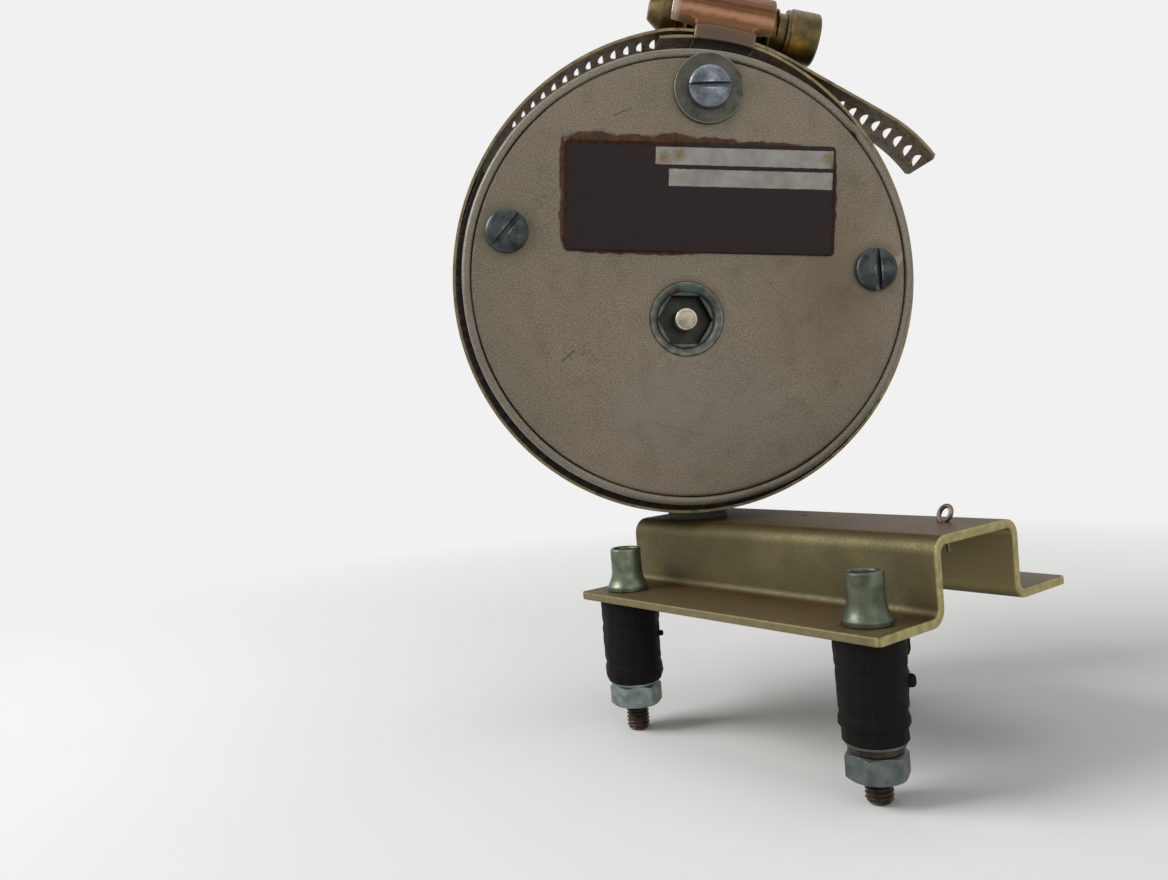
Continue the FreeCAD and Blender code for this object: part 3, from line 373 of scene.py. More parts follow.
def rounded(points, radii, steps=6):
    """A closed outline whose corners are arcs: each arc is tangent to both its sides."""
    points = np.array(points, float)
    made = []
    for before, corner, after, radius in zip(np.roll(points, 1, 0), points, np.roll(points, -1, 0), radii):
        to_before, to_after = before - corner, after - corner
        to_before, to_after = to_before / np.linalg.norm(to_before), to_after / np.linalg.norm(to_after)
        half = math.acos(np.clip(to_before @ to_after, -1, 1)) / 2
        if radius == 0 or abs(math.cos(half)) < 1e-6:
            made.append(corner[None])
            continue
        middle = (to_before + to_after) / np.linalg.norm(to_before + to_after)
        centre = corner + middle * radius / math.sin(half)
        reach = radius / math.tan(half)
        start, end = corner + to_before * reach - centre, corner + to_after * reach - centre
        share = np.linspace(0, 1, steps + 1)[:, None]
        sweep = math.acos(np.clip(start @ end / radius ** 2, -1, 1))
        arc = start * np.sin((1 - share) * sweep) + end * np.sin(share * sweep)
        made.append(centre + arc / math.sin(sweep))
    return np.concatenate(made)


def rounded_box(low, high, radii, steps):
    """The rounded outline of a rectangle, from its lower left corner by its lower right."""
    return rounded([low, (high[0], low[1]), high, (low[0], high[1])], radii, steps)


def lathe(profile, count=96, along="z", swell=None):
    """Turns a closed profile of (radius, height) about an axis, with swell added to the radius."""
    profile = np.array(profile, float)
    angle = angles(count)[None]
    radius, height = profile[:, :1] + 0 * angle, profile[:, 1:] + 0 * angle
    if swell:
        radius = radius + swell(angle, height) * (radius > 0)
    return around(radius, angle, height, along), quads(len(profile), count, closed_rows=True)


def placed(form, shift=(0, 0, 0), carry=np.asarray):
    """A form, which is its points and its faces, shifted and then carried to another frame."""
    points, faces = form
    return carry(points + np.array(shift, float)), faces


def stacked(forms):
    """Several forms joined into one."""
    starts = np.cumsum([0] + [len(points) for points, _ in forms])
    faces = [[list(np.array(face) + start) for face in fs] for (_, fs), start in zip(forms, starts)]
    return np.concatenate([points for points, _ in forms]), [face for fs in faces for face in fs]


def box_form(low, high):
    """The eight corners and six sides of a box."""
    corners = [[x, y, z] for x in (low[0], high[0]) for y in (low[1], high[1]) for z in (low[2], high[2])]
    sides = [[0, 1, 3, 2], [4, 6, 7, 5], [0, 4, 5, 1], [2, 3, 7, 6], [0, 2, 6, 4], [1, 5, 7, 3]]
    return np.array(corners, float), np.array(sides)


print("a square with rounded corners has", len(rounded_box((0, 0), (9, 9), [1] * 4, 6)), "points")

# %% [markdown]
# Real finishes wear at outward edges; inward corners are darkened here as painted shade.
# The turn between two neighbouring faces, over the distance of their middles, tells how
# sharply a surface bends. So each mesh stores two numbers per vertex, one for each way, and
# finishes read them.

# %% Marks for wear and for painted shade
SHARPEST_GAP = 0.02
BEND_FROM, BEND_SPAN = 0.5, 1.5


def read(items, name, width, kind=float):
    """One property of all faces, edges or corners of a mesh as rows of an array."""
    values = np.zeros(len(items) * width, kind)
    items.foreach_get(name, values)
    return values.reshape(-1, width) if width > 1 else values


def bends(mesh):
    """Bend of the surface at each vertex, outward and inward: angle between faces / distance of middles."""
    normals, middles = read(mesh.polygons, "normal", 3), read(mesh.polygons, "center", 3) / MM
    edge_of, sides = read(mesh.loops, "edge_index", 1, int), read(mesh.polygons, "loop_total", 1, int)
    order = np.argsort(edge_of, kind="stable")
    edge, face = edge_of[order], np.repeat(np.arange(len(sides)), sides)[order]
    pair = np.flatnonzero(edge[1:] == edge[:-1])
    first, second = face[pair], face[pair + 1]
    gap = middles[first] - middles[second]
    turn = np.arccos(np.clip((normals[first] * normals[second]).sum(1), -1, 1))
    turn /= np.maximum(np.linalg.norm(gap, axis=1), SHARPEST_GAP)
    outward = ((normals[first] - normals[second]) * gap).sum(1) > 0
    ends = read(mesh.edges, "vertices", 2, int)[edge[pair]]
    made = np.zeros((2, len(mesh.vertices)))
    np.maximum.at(made[0], ends, (turn * outward)[:, None])
    np.maximum.at(made[1], ends, (turn * ~outward)[:, None])
    return np.clip((made - BEND_FROM) / BEND_SPAN, 0, 1)


def mark(mesh, name, values):
    """Stores one number per vertex, for a finish to read as an attribute."""
    old = mesh.attributes.get(name)
    if old:
        mesh.attributes.remove(old)
    field = mesh.attributes.new(name, "FLOAT", "POINT")
    field.data.foreach_set("value", np.asarray(values, np.float32))


def dress(mesh, sharp):
    """Smooth shading but for edges over sharp degrees, and marks where edges wear and where inward corners
    take painted shade.
    """
    mesh.shade_smooth()
    mesh.set_sharp_from_angle(angle=math.radians(sharp))
    for name, values in zip(("edge", "hollow"), bends(mesh)):
        mark(mesh, name, values)


print("a bend is marked from", BEND_FROM, "to", BEND_FROM + BEND_SPAN, "radians per mm")

# %% [markdown]
# A form here is a pair: its points in millimetres and its faces. It becomes a mesh in metres
# whose doubles are merged and whose faces point outwards. Slots and holes are cut with an
# exact Boolean, which is applied at once, so that a finished piece is a plain mesh.

# %% Making pieces
MERGED = 1e-3


def mesh_of(name, form):
    """A mesh in metres from a form in mm."""
    points, faces = form
    mesh = bpy.data.meshes.new(name)
    mesh.from_pydata(np.asarray(points, float) * MM, [], [list(face) for face in faces])
    return mesh


def piece(name, form, finish, stands_for=(), sharp=40.0):
    """A form becomes a piece of the part, which rides with the part's one body."""
    mesh = mesh_of(name, form)
    shape = bmesh.new()
    shape.from_mesh(mesh)
    bmesh.ops.remove_doubles(shape, verts=shape.verts, dist=MERGED * MM)
    bmesh.ops.dissolve_degenerate(shape, edges=shape.edges, dist=MERGED * MM)
    bmesh.ops.recalc_face_normals(shape, faces=shape.faces)
    shape.to_mesh(mesh)
    shape.free()
    dress(mesh, sharp)
    made = shown(name, mesh)
    mesh.materials.append(finish)
    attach(made, "root")
    if stands_for:
        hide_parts(*stands_for)
    return made


def settle(made, sharp):
    """What a piece's modifiers make becomes its own mesh."""
    made.data = bpy.data.meshes.new_from_object(made.evaluated_get(bpy.context.evaluated_depsgraph_get()))
    made.modifiers.clear()
    dress(made.data, sharp)


def without(made, cutters, sharp=32.0):
    """Takes closed forms out of a piece with an exact Boolean and keeps the result as its mesh."""
    knife = shown("cutter", mesh_of("cutter", stacked(cutters)))
    step = made.modifiers.new("cut", "BOOLEAN")
    step.operation, step.object, step.solver = "DIFFERENCE", knife, "EXACT"
    settle(made, sharp)
    bpy.data.objects.remove(knife)


def even_normals(made):
    """Big flat faces keep flat shading beside rounded edges: vertex normals are weighed by face area."""
    step = made.modifiers.new("even normals", "WEIGHTED_NORMAL")
    step.keep_sharp = True


print("points closer than", MERGED, "mm are merged")

# %% [markdown]
# The bracket is one strip folded four times. Its section is carried along the bracket, and
# near both ends it shrinks along a quarter circle, which rounds the sheared edges. The
# flange tips draw back there too, which gives the flanges their round corners in plan. The
# holes are cut with a Boolean. The bracket's sheared edges are all bare, so its marks for
# wear come from their place and not from how sharply the surface bends.

# %% Bracket
SHEET = 1.6
FLANGE = 16.9
HAT_WIDTH = 26.4
BEND = 1.6
EDGE_ROUND = 0.35
CORNER_ROUND = 1.5
FERRULE_SHANK = 3.0
HOLE_DEPTH, HOLE_START = 30, 22.0
PIN_HOLE = (59.5, 26.6, 1.15)
SPARE_HOLE = (27.2, 26.9, 0.9)
MOUNTS = {"left": (0, -35.0), "right": (1, -38.0), "rear": (2, 10.0)}
bracket_low, bracket_high = box_of("bracket")
RIVET_HOLE = (*sum(box_of("clamp_pad"))[:2] / 2, 1.6)


def mount_axis(name):
    """Where the stud of a mount stands, as (x, y, 0) in mm."""
    return sum(box_of("stud_" + name)) / 2 * (1, 1, 0)


def bracket_section():
    """The folded strip seen from its end, as (y, z), clockwise from the front flange's top."""
    y0, y3 = bracket_low[1], bracket_high[1]
    y1, y2 = y0 + FLANGE, y0 + FLANGE + HAT_WIDTH
    top, level = bracket_high[2], bracket_low[2] + SHEET
    corners = [(y0, level), (y1, level), (y1, top), (y2, top), (y2, level), (y3, level),
               (y3, level - SHEET), (y2 - SHEET, level - SHEET), (y2 - SHEET, top - SHEET),
               (y1 + SHEET, top - SHEET), (y1 + SHEET, level - SHEET), (y0, level - SHEET)]
    outer = BEND + SHEET
    return rounded(corners, [EDGE_ROUND, BEND, outer, outer, BEND, EDGE_ROUND,
                             EDGE_ROUND, outer, BEND, BEND, outer, EDGE_ROUND])


def make_bracket():
    """The section along x: near an end it shrinks by a quarter circle, and its tips draw back by another."""
    section = bracket_section()
    along = np.roll(section, -1, 0) - np.roll(section, 1, 0)
    inward = np.stack([along[:, 1], -along[:, 0]], -1) / np.linalg.norm(along, axis=1)[:, None]
    quarter = np.linspace(0, np.pi / 2, 5)
    depth = np.concatenate([EDGE_ROUND * (1 - np.cos(quarter))[::-1], np.zeros(8)])
    from_end = np.concatenate([EDGE_ROUND * (1 - np.sin(quarter))[::-1], np.linspace(0, CORNER_ROUND, 7)[2:],
                               [4.0, 12.0, 30.0]])
    order = np.argsort(from_end, kind="stable")
    depth, from_end = depth[order], from_end[order]
    to_corner = np.maximum(CORNER_ROUND - from_end, 0)
    draw_back = CORNER_ROUND - np.sqrt(np.maximum(CORNER_ROUND ** 2 - to_corner ** 2, 0))
    stations = np.concatenate([bracket_low[0] + from_end, (bracket_high[0] - from_end)[::-1]])
    depth, draw_back = [np.concatenate([half, half[::-1]])[:, None] for half in (depth, draw_back)]
    profile = section[None] + inward[None] * depth[:, :, None]
    tip = (section[:, 0] < bracket_low[1] + 1).astype(float) - (section[:, 0] > bracket_high[1] - 1)
    y = profile[:, :, 0] + tip * draw_back
    x = np.repeat(stations[:, None], len(section), 1)
    form = np.stack([x, y, profile[:, :, 1]], -1).reshape(-1, 3), capped(len(stations), len(section))
    made = piece("bracket_sheet", form, olive, ["bracket"], 50.0)
    holes = [(*mount_axis(name)[:2], FERRULE_SHANK) for name in MOUNTS] + [PIN_HOLE, SPARE_HOLE, RIVET_HOLE]
    rods = [lathe([(0, 0), (radius, 0), (radius, HOLE_DEPTH), (0, HOLE_DEPTH)], 48) for _, _, radius in holes]
    without(made, [placed(rod, (x, y, HOLE_START)) for (x, y, _), rod in zip(holes, rods)], 50.0)
    place = np.array([v.co for v in made.data.vertices]) / MM
    inset = np.minimum(place - bracket_low, bracket_high - place)[:, :2].min(1)
    mark(made.data, "edge", np.clip(1.5 - inset / EDGE_ROUND, 0, 1))
    even_normals(made)
    return made


bracket = make_bracket()
print("bracket faces:", len(bracket.data.polygons))

# %% [markdown]
# Each mount is a flared steel ferrule, a moulded rubber bonded to it, and a stud with its
# washers and nut. All are turned forms. The rubber's outline isn't perfectly round: it
# swells where it is squeezed and carries two fine flash lines from its mould. The stud's
# thread is one surface whose radius follows the distance from a helix.

# %% Finishes of the mounts
# the stretch along x, in mm, over which plated pieces are darkened as painted shade
SHADE_START, SHADE_END = 30.0, 45.0


def dull_zinc(name, main, shadow, rust, share, grime_and_shade=0.0):
    """Zinc plate: a thin grey metal coat, cloudy from white and brown corrosion, and darker towards larger x,
    which is painted shade where the light from the left falls off.
    """
    material, coords = new_finish(name, 0.75, 0.45)
    clouds = patches(coords, 2.2, 4.0)
    spots = patches(coords, 1.1, 5.0, 0.52, 0.66, 0.65)
    # painted shade: plated pieces darken from 30 to 45 mm along x, away from the lamp on the left
    painted_shade_to_right = between(parts_of(coords)["X"], SHADE_START * MM, SHADE_END * MM)
    base = layered(mixed(clouds, shadow, main), (spots, rust, share), (painted_shade_to_right, "#2A2C25", grime_and_shade))
    feed(shader_of(material).inputs["Metallic"], spread(spots, 0.8, 0.8 - 0.6 * share))
    return surfaced(material, base, spread(clouds, 0.5, 0.36), noise(coords, 0.4, 3.0), 0.03)


def moulded_rubber(name, main, dust, share):
    """Carbon black rubber: matt, nearly black, with grey bloom and dust in patches."""
    material, coords = new_finish(name, 0.0, 0.8, 0.12)
    bloom = patches(coords, 3.0, 5.0, 0.45, 0.7, 0.65)
    base = mixed(times(bloom, share), main, dust)
    return surfaced(material, base, spread(bloom, 0.62, 0.9), noise(coords, 0.5, 4.0, 0.6), 0.08, 0.6)


zinc = dull_zinc("dull green zinc plate", "#76806D", "#505845", "#57482F", 0.5, 0.4)
nut_zinc = dull_zinc("blue-grey zinc plate", "#8D9999", "#667170", "#4E4234", 0.4, 0.5)
rusty = dull_zinc("rusted plated steel", "#55443A", "#2C211C", "#4A2E1D", 0.9, 0.4)
rubber = moulded_rubber("moulded black rubber", "#0C0B0B", "#24201A", 0.5)
print("mount finishes:", zinc.name, "/", nut_zinc.name, "/", rusty.name, "/", rubber.name)

# %% Ferrules, rubbers, studs, washers and nuts
STUD_RADIUS, THREAD_PITCH, THREAD_DEPTH = 2.4, 0.8, 0.42
NUT_FLATS, NUT_HEIGHT, NUT_CHAMFER = 9.525, 4.6, 0.9
FERRULE_TUBE, FERRULE_FLARE, FERRULE_BORE, FLARE_REACH = 3.2, 4.35, 2.25, 3.6
RUBBER_RADIUS, RUBBER_CORE = 6.12, 2.0
FLASH_TURN, FLASH_WIDTH, FLASH_HEIGHT = 0.9, 0.035, 0.16
WASHER_RADIUS, WASHER_THICKNESS = 5.1, 0.5
LOCK_RADIUS, LOCK_TOP, LOCK_BOTTOM, LOCK_STEP, LOCK_GAP = 4.75, 0.12, 1.15, 1.3, 0.07
NUBS = {"left": (1.25, 0.6), "right": (1.5, 1.15)}
NUB_RISE, NUB_ROOT, NUB_TURN = 9.9, 5.6, math.radians(38)


def ferrule(base, top):
    """A tube with a flared foot: radius = tube + flare * (1 - height / reach) to a power, rolled lips."""
    tube, flare, bore, reach = FERRULE_TUBE, FERRULE_FLARE, FERRULE_BORE, FLARE_REACH
    rise = np.linspace(0, 1, 14)
    wall = np.stack([tube + (flare - tube) * (1 - rise) ** 2.2, base + 0.95 + rise * reach], -1)
    inner = np.stack([bore + (flare - tube) * 0.9 * (1 - rise) ** 3, base + 0.1 + rise * reach], -1)[::-1]
    lip = np.linspace(0, np.pi, 9)
    mid, half = (tube + bore) / 2, (tube - bore) / 2
    rolled = np.stack([mid + half * np.cos(lip), top - half + half * np.sin(lip)], -1)
    foot = [(flare - 1.2, base), (flare - 0.2, base), (flare, base + 0.2), (flare, base + 0.75)]
    return lathe(np.concatenate([foot, wall, rolled, inner]), 72,
                 swell=lambda a, h: 0.06 * np.sin(2 * a + 0.7) * (h - base) / (top - base))


def rubber_form(low, high, seed, necked):
    """A moulded cylinder: a slight waist, soft ends, summed sines as bulges, and two flash lines."""
    radius, core, length = RUBBER_RADIUS, RUBBER_CORE, high - low
    outline = rounded([(core, low), (radius - 0.55, low), (radius - 0.12, low + 1.6),
                       (radius - 0.3, low + 0.35 * length), (radius - 0.18, low + 0.62 * length),
                       (radius, high), (core, high)], [0, 0.5, 0.8, 5.0, 5.0, 0.25, 0], 5)
    outer = outline[outline[:, 0] > 3]
    height = low + np.linspace(0, 1, 60) * length
    wall = np.stack([np.interp(height, outer[:, 1], outer[:, 0]), height], -1)
    profile = np.concatenate([[(core, low), (outer[0, 0] - 0.4, low)], wall, [(core, high)]])

    def bump_at(up, place, width):
        """A soft bump: e to the power of minus the distance over the width, squared."""
        return np.exp(-((up - place) / width) ** 2)

    def swell(a, h):
        """What is added to the radius at angle a and height h, fading to nothing at both ends."""
        up = (h - low) / length
        lumps = 0.06 * np.sin(3 * a + seed + 5 * up) + 0.03 * np.sin(7 * a - seed + 9 * up)
        lumps += 0.06 * np.sin(13 * a + 17 * up) * np.sin(23 * up)
        for seam in (FLASH_TURN + seed, FLASH_TURN + seed + np.pi):
            lumps += FLASH_HEIGHT * bump_at(np.angle(np.exp(1j * (a - seam))), 0, FLASH_WIDTH)
        lumps -= 0.22 * bump_at(up, 0.24 + 0.03 * seed, 0.03) + 0.16 * bump_at(up, 0.7, 0.025)
        if necked:
            lumps -= 0.55 * np.clip((0.15 - up) / 0.015, 0, 1) + 0.25 * bump_at(up, 0.15, 0.012)
        return lumps * np.clip(np.minimum(up, 1 - up) * 12, 0, 1)

    return lathe(profile, 120, swell=swell)


def thread(low, high, radius, pitch, depth, count=56):
    """A threaded rod: radius falls from crest to root with the distance from a helix."""
    z = np.linspace(low, high, int((high - low) / pitch * 12) + 1)[:, None]
    a = angles(count)[None]
    phase = (z / pitch - a / (2 * np.pi)) % 1.0
    r = radius - depth * np.clip(np.abs(2 * phase - 1) * 1.25 - 0.12, 0, 1)
    r = np.minimum(r, radius - 0.6 + np.minimum(z - low, high - z))
    return around(r, a, z), capped(len(z), count)


def hex_nut(low, high, turn):
    """Six flats met by two cones: radius = the smaller of the hexagon's and the cone's, at each height."""
    a = angles(144)[None]
    flat = hexagon(a + np.pi / 6, NUT_FLATS / 2)
    rise = np.linspace(0, NUT_CHAMFER, 12)
    z = np.concatenate([[low], low + rise, high - rise[::-1], [high]])[:, None]
    from_end = np.minimum(z - low, high - z)
    cone = NUT_FLATS / math.sqrt(3) - NUT_CHAMFER + from_end * 1.7
    r = np.minimum(flat - 0.03 * (from_end < 0.02), cone)
    r[0], r[-1] = STUD_RADIUS - 0.1, STUD_RADIUS - 0.1
    return around(r, a + turn, z), quads(len(z), a.shape[1], closed_rows=True)


def flat_ring(outer, inner, low, high, edge=0.12):
    """A washer: a rectangle with two rounded corners, turned."""
    return lathe(rounded_box((inner, low), (outer, high), [0, edge, edge, 0], 4), 80)


def split_ring(outer, inner, low, high, start):
    """A lock washer: a square section carried round an open ring that rises by a quarter of a mm."""
    a = np.linspace(LOCK_GAP, 2 * np.pi - LOCK_GAP, 90)[:, None]
    corners = rounded_box((inner, low), (outer, high), [0.1] * 4, 3)
    rise = (a / (2 * np.pi) - 0.5) * 0.25
    return around(corners[:, 0], a + start, corners[:, 1] + rise), capped(len(a), len(corners))


def nub(axis, height, turn, reach, radius):
    """The stub that the rubber's mould leaves: a short lathe form turned to lie on its side."""
    corners = rounded_box((0, 0), (radius, reach), [0, 0, 0.6 * radius, 0], 5)
    points, faces = lathe(corners, 20)
    return placed((points[:, [2, 0, 1]], faces), (NUB_ROOT, 0, height), lambda p: p @ about_z(turn).T + axis)


washers, locks, nuts = [], [], []
for number, (name, (lock_count, nut_turn)) in enumerate(MOUNTS.items()):
    axis = mount_axis(name)
    tube = ferrule(bracket_low[2] + SHEET, box_of("ferrule_" + name)[1][2])
    piece("ferrule_tube_" + name, placed(tube, axis), zinc, ["ferrule_" + name])
    low, high = [corner[2] for corner in box_of("rubber_" + name)]
    forms = [placed(rubber_form(low, high, 1.3 * number, name == "right"), axis)]
    if name in NUBS:
        forms.append(nub(axis, low + NUB_RISE, NUB_TURN, *NUBS[name]))
    piece("rubber_body_" + name, stacked(forms), rubber, ["rubber_" + name])
    stud = thread(0.0, low, STUD_RADIUS, THREAD_PITCH, THREAD_DEPTH)
    piece("stud_thread_" + name, placed(stud, axis), rusty, ["stud_" + name], 60.0)
    level = low - WASHER_THICKNESS
    washers.append(placed(flat_ring(WASHER_RADIUS, STUD_RADIUS, level, low), axis))
    for i in range(lock_count):
        lock = split_ring(LOCK_RADIUS, STUD_RADIUS, level - LOCK_BOTTOM, level - LOCK_TOP, 1.0 + 2.0 * i)
        locks.append(placed(lock, axis))
        level -= LOCK_STEP
    nuts.append(placed(hex_nut(level - NUT_HEIGHT, level, math.radians(nut_turn)), axis))
piece("washers_flat", stacked(washers), nut_zinc, ["flat_washers"])
piece("washers_lock", stacked(locks), rusty, ["lock_washers"])
piece("nuts", stacked(nuts), nut_zinc, ["mount_nuts"], 25.0)
print("mounts:", len(MOUNTS), "with", len(locks), "lock washers")

# %% [markdown]
# The can is sheet metal under a warm grey baked finish that has aged: its tone drifts over
# centimetres, it is speckled at a third of a millimetre, and it is stained green-brown where
# brass and steel parts touch it. The marks stand at known places on the face, so the finish
# reads the can's own frame, and each mark is a distance: from a point, from a stroke or from
# a rectangle. A distance shaken by noise gives a ragged edge, as rust has.

# %% Marks on the face
PLATE_CENTRE, PLATE_HALF = (1.8, 16.5), (28.4, 11.35)
SCREWS = [(39.22, 2.47, -85.0), (3.15, 39.17, 3.0), (-38.32, 8.71, 52.0)]
BUSH = (-0.7, -8.55)
HALO_EDGE = 2.6
HALOS = [(*SCREWS[2][:2], 7.4), (*SCREWS[0][:2], 6.4), (*SCREWS[1][:2], 9.6), (*BUSH, 9.4)]
RUST = [(-20.5, 28.0, 6.5, 2.1), (-12.0, 28.0, 6.5, 1.6), (-4.0, 28.0, 6.0, 2.0), (4.5, 28.0, 6.5, 1.3),
        (15.0, 27.9, 9.0, 0.8), (-26.9, 22.0, 0.9, 7.5), (-26.8, 11.5, 0.9, 6.0), (30.2, 18.0, 0.5, 9.0),
        (-12.0, 5.0, 15.0, 0.5)]
SCRATCHES = [((-26.5, -17.6), (-24.2, -15.6), 0.28, 0.8), ((-26.2, -15.8), (-24.6, -17.4), 0.2, 0.6),
             ((-16.5, 33.2), (-13.0, 34.6), 0.2, 0.7), ((27.0, -3.0), (27.6, -11.0), 0.12, 0.4),
             ((-9.0, -30.0), (4.0, -33.0), 0.12, 0.35), ((14.0, 1.5), (22.0, -6.0), 0.1, 0.35)]


def stroke(coords, start, end, width):
    """1 along a scratch: the distance from p to a + clamp((p - a).d / d.d) d, against its width."""
    start, end = Vector((start[0], 0, start[1])), Vector((end[0], 0, end[1]))
    along = (end - start) * MM
    offset = moved_by(coords, start)
    share = between(vector("DOT_PRODUCT", offset, along / along.length_squared), 0.0, 1.0)
    reach = vector("DISTANCE", offset, vector("MULTIPLY", share, along))
    return between(reach, 0.4 * width * MM, width * MM, 1.0, 0.0)


def patch(coords, centre, half, soft):
    """1 inside a rectangle on the face, falling to 0 over soft millimetres outside it."""
    size = parts_of(vector("ABSOLUTE", moved_by(coords, (centre[0], 0, centre[1]))))
    x, z = [between(size[axis], reach * MM, (reach + soft) * MM, 1.0, 0.0) for axis, reach in zip("XZ", half)]
    return times(x, z)


def face_marks(coords, base, grain):
    """Lays the face's marks over its colour, each by its distance, and gives the rust's field too."""
    rubbed = times(near(shaken(coords, 9.0, 10.0), (2.0, 0, -27.0), 3.0, 17.0, (0.8, 0.0, 1.3)),
                   between(grain, 0.3, 0.7, 0.25, 0.6))
    base = layered(base, (rubbed, "#7B7871", 1.0))
    ragged = shaken(coords, 2.5, 2.4)
    halos = [near(ragged, (x, 0, z), reach - HALO_EDGE, reach) for x, z, reach in HALOS]
    base = layered(base, *[(halo, "#55523A", 0.55) for halo in halos])
    brown = near(shaken(coords, 9.0, 12.0), (30.0, 0, 0.0), 3.0, 19.0, (1.2, 0.0, 0.7))
    creeping = shaken(coords, 1.8, 1.1)
    rust = most(*[near(creeping, (x, 0, z), 0.75, 1.0, (1 / wide, 0.0, 1 / high))
                  for x, z, wide, high in RUST])
    haze = times(near(ragged, (-4.5, 0, 28.5), 0.1, 1.0, (1 / 7.5, 0.0, 1 / 4.2)),
                 spread(patches(coords, 0.9, 4.0, 0.38, 0.62, 0.65), 0.1, 0.65))
    rust_tone = mixed(patches(coords, 1.6, 4.0), "#1E0F07", "#5A2E10")
    lump = stroke(ragged, (43.2, 3.4), (45.4, 6.4), 1.1)
    base = layered(base, (brown, "#57472A", 0.55), (haze, "#6F4C1E", 1.0), (rust, rust_tone, 0.9),
                   (lump, "#9C967C", 0.7))
    cuts = [(stroke(coords, start, end, width), "#3F382D", share) for start, end, width, share in SCRATCHES]
    return layered(base, *cuts), rust


def can_finish(name, dark, light, with_marks):
    """Two warm greys by slow noise, brown blotches, and a fine grain both lighter and darker."""
    material, coords = new_finish(name, 0.25, roll=CAN_ROLL)
    blotches = patches(coords, 6.0, 5.0, 0.5, 0.75, 0.6)
    grain = noise(coords, 0.32, 2.0, 0.6)
    base = layered(mixed(patches(coords, 26.0, 3.0, 0.3, 0.7), dark, light), (blotches, "#5C5340", 0.45),
                   (between(grain, 0.5, 0.68), "#948976", 0.6), (between(grain, 0.5, 0.32), "#463F31", 0.65))
    rough = spread(blotches, 0.46, 0.6)
    if with_marks:
        base, rust = face_marks(coords, base, grain)
        rough = maths("ADD", rough, times(rust, 0.3))
    return surfaced(material, base, rough, grain, 0.015)


can_grey = can_finish("aged warm grey finish on the can", "#6F685A", "#81796A", False)
cover_grey = can_finish("aged warm grey finish on the cover", "#6A604F", "#7B6F5D", True)
print("finishes of the can:", can_grey.name, "/", cover_grey.name)

# %% [markdown]
# The shell is a deep drawn cup, so it is a lathe form: its front edge is rolled to a half
# round, and its rear edge is a wide radius. The cover is a disc with a hole off its middle.
# Rays from the hole's centre reach the disc's edge at a distance that follows from the two
# circles, so a grid of rays and rings covers the disc with even quads and no cut.

# %% Can and cover
CAN_DEPTH, CAN_WALL = 44.0, 1.8
CAN_INSIDE = CAN_RADIUS - CAN_WALL
LEDGE, LEDGE_START, LEDGE_END = 2.2, 3.6, 5.6
COVER_THICKNESS, COVER_GAP = 3.0, 0.2
BUSH_RADIUS = 7.75
RIM_BUMP, RIM_BUMP_WIDTH = math.radians(42), 0.022

outline = rounded([(0, CAN_DEPTH), (CAN_RADIUS, CAN_DEPTH), (CAN_RADIUS, 0), (CAN_INSIDE, 0),
                   (CAN_INSIDE, LEDGE_START), (CAN_INSIDE - LEDGE, LEDGE_START),
                   (CAN_INSIDE - LEDGE, LEDGE_END), (CAN_INSIDE, LEDGE_END),
                   (CAN_INSIDE, CAN_DEPTH - CAN_WALL), (0, CAN_DEPTH - CAN_WALL)],
                  [0, 1.8, 0.95, 0.55, 0, 0.3, 0, 0, 0, 0], 8)


def rim_swell(a, y):
    """The rim isn't quite round: two waves and one narrow bump, only near the front."""
    bump = 0.5 * np.exp(-((a - RIM_BUMP) / RIM_BUMP_WIDTH) ** 2)
    return (0.05 * np.sin(5 * a + 1) + 0.03 * np.sin(11 * a) + bump) * (y < 4)


shell = lathe(outline, 240, along="y", swell=rim_swell)
piece("can_shell", placed(shell, carry=on_can), can_grey, ["can_housing"])


def cover():
    """Rays from the hole: reach = sqrt(R^2 - (c x d)^2) - c.d, for centre c and direction d."""
    a = angles(240)
    d = np.stack([np.cos(a), np.sin(a)], -1)
    c = np.array(BUSH)
    outer = CAN_INSIDE - COVER_GAP
    reach = np.sqrt(outer ** 2 - (c[0] * d[:, 1] - c[1] * d[:, 0]) ** 2) - d @ c
    flat_start, edge_start = BUSH_RADIUS + 0.3, 0.55
    rings = [(BUSH_RADIUS, COVER_THICKNESS), (BUSH_RADIUS, 0.3), (BUSH_RADIUS + 0.1, 0.08), (flat_start, 0)]
    shares = np.linspace(0.03, 0.97, 24)
    edge = [(edge_start, 0.0), (0.3, 0.04), (0.1, 0.18), (0.0, 0.42), (0.0, COVER_THICKNESS)]
    r = [np.full(len(a), radius) for radius, _ in rings]
    r += [flat_start + share * (reach - flat_start - edge_start) for share in shares]
    r += [reach - inset for inset, _ in edge]
    y = [y for _, y in rings] + [0.0] * len(shares) + [y for _, y in edge]
    r, y = np.array(r), np.array(y)[:, None]
    x, z = c[0] + r * d[:, 0], c[1] + r * d[:, 1]
    from_edge = np.clip((outer - np.hypot(x, z)) / 8, 0, 1)
    waves = 0.05 * np.sin(x / 9 + 1) * np.sin(z / 11) * from_edge * (y < 0.01)
    return np.stack([x, y + waves, z], -1).reshape(-1, 3), quads(len(r), len(a), closed_rows=True)


disc = cover()
piece("cover_disc", placed(disc, carry=on_can), cover_grey, ["cover_plate"])
print("can radius inside:", round(CAN_INSIDE, 2), "cover faces:", len(disc[1]))
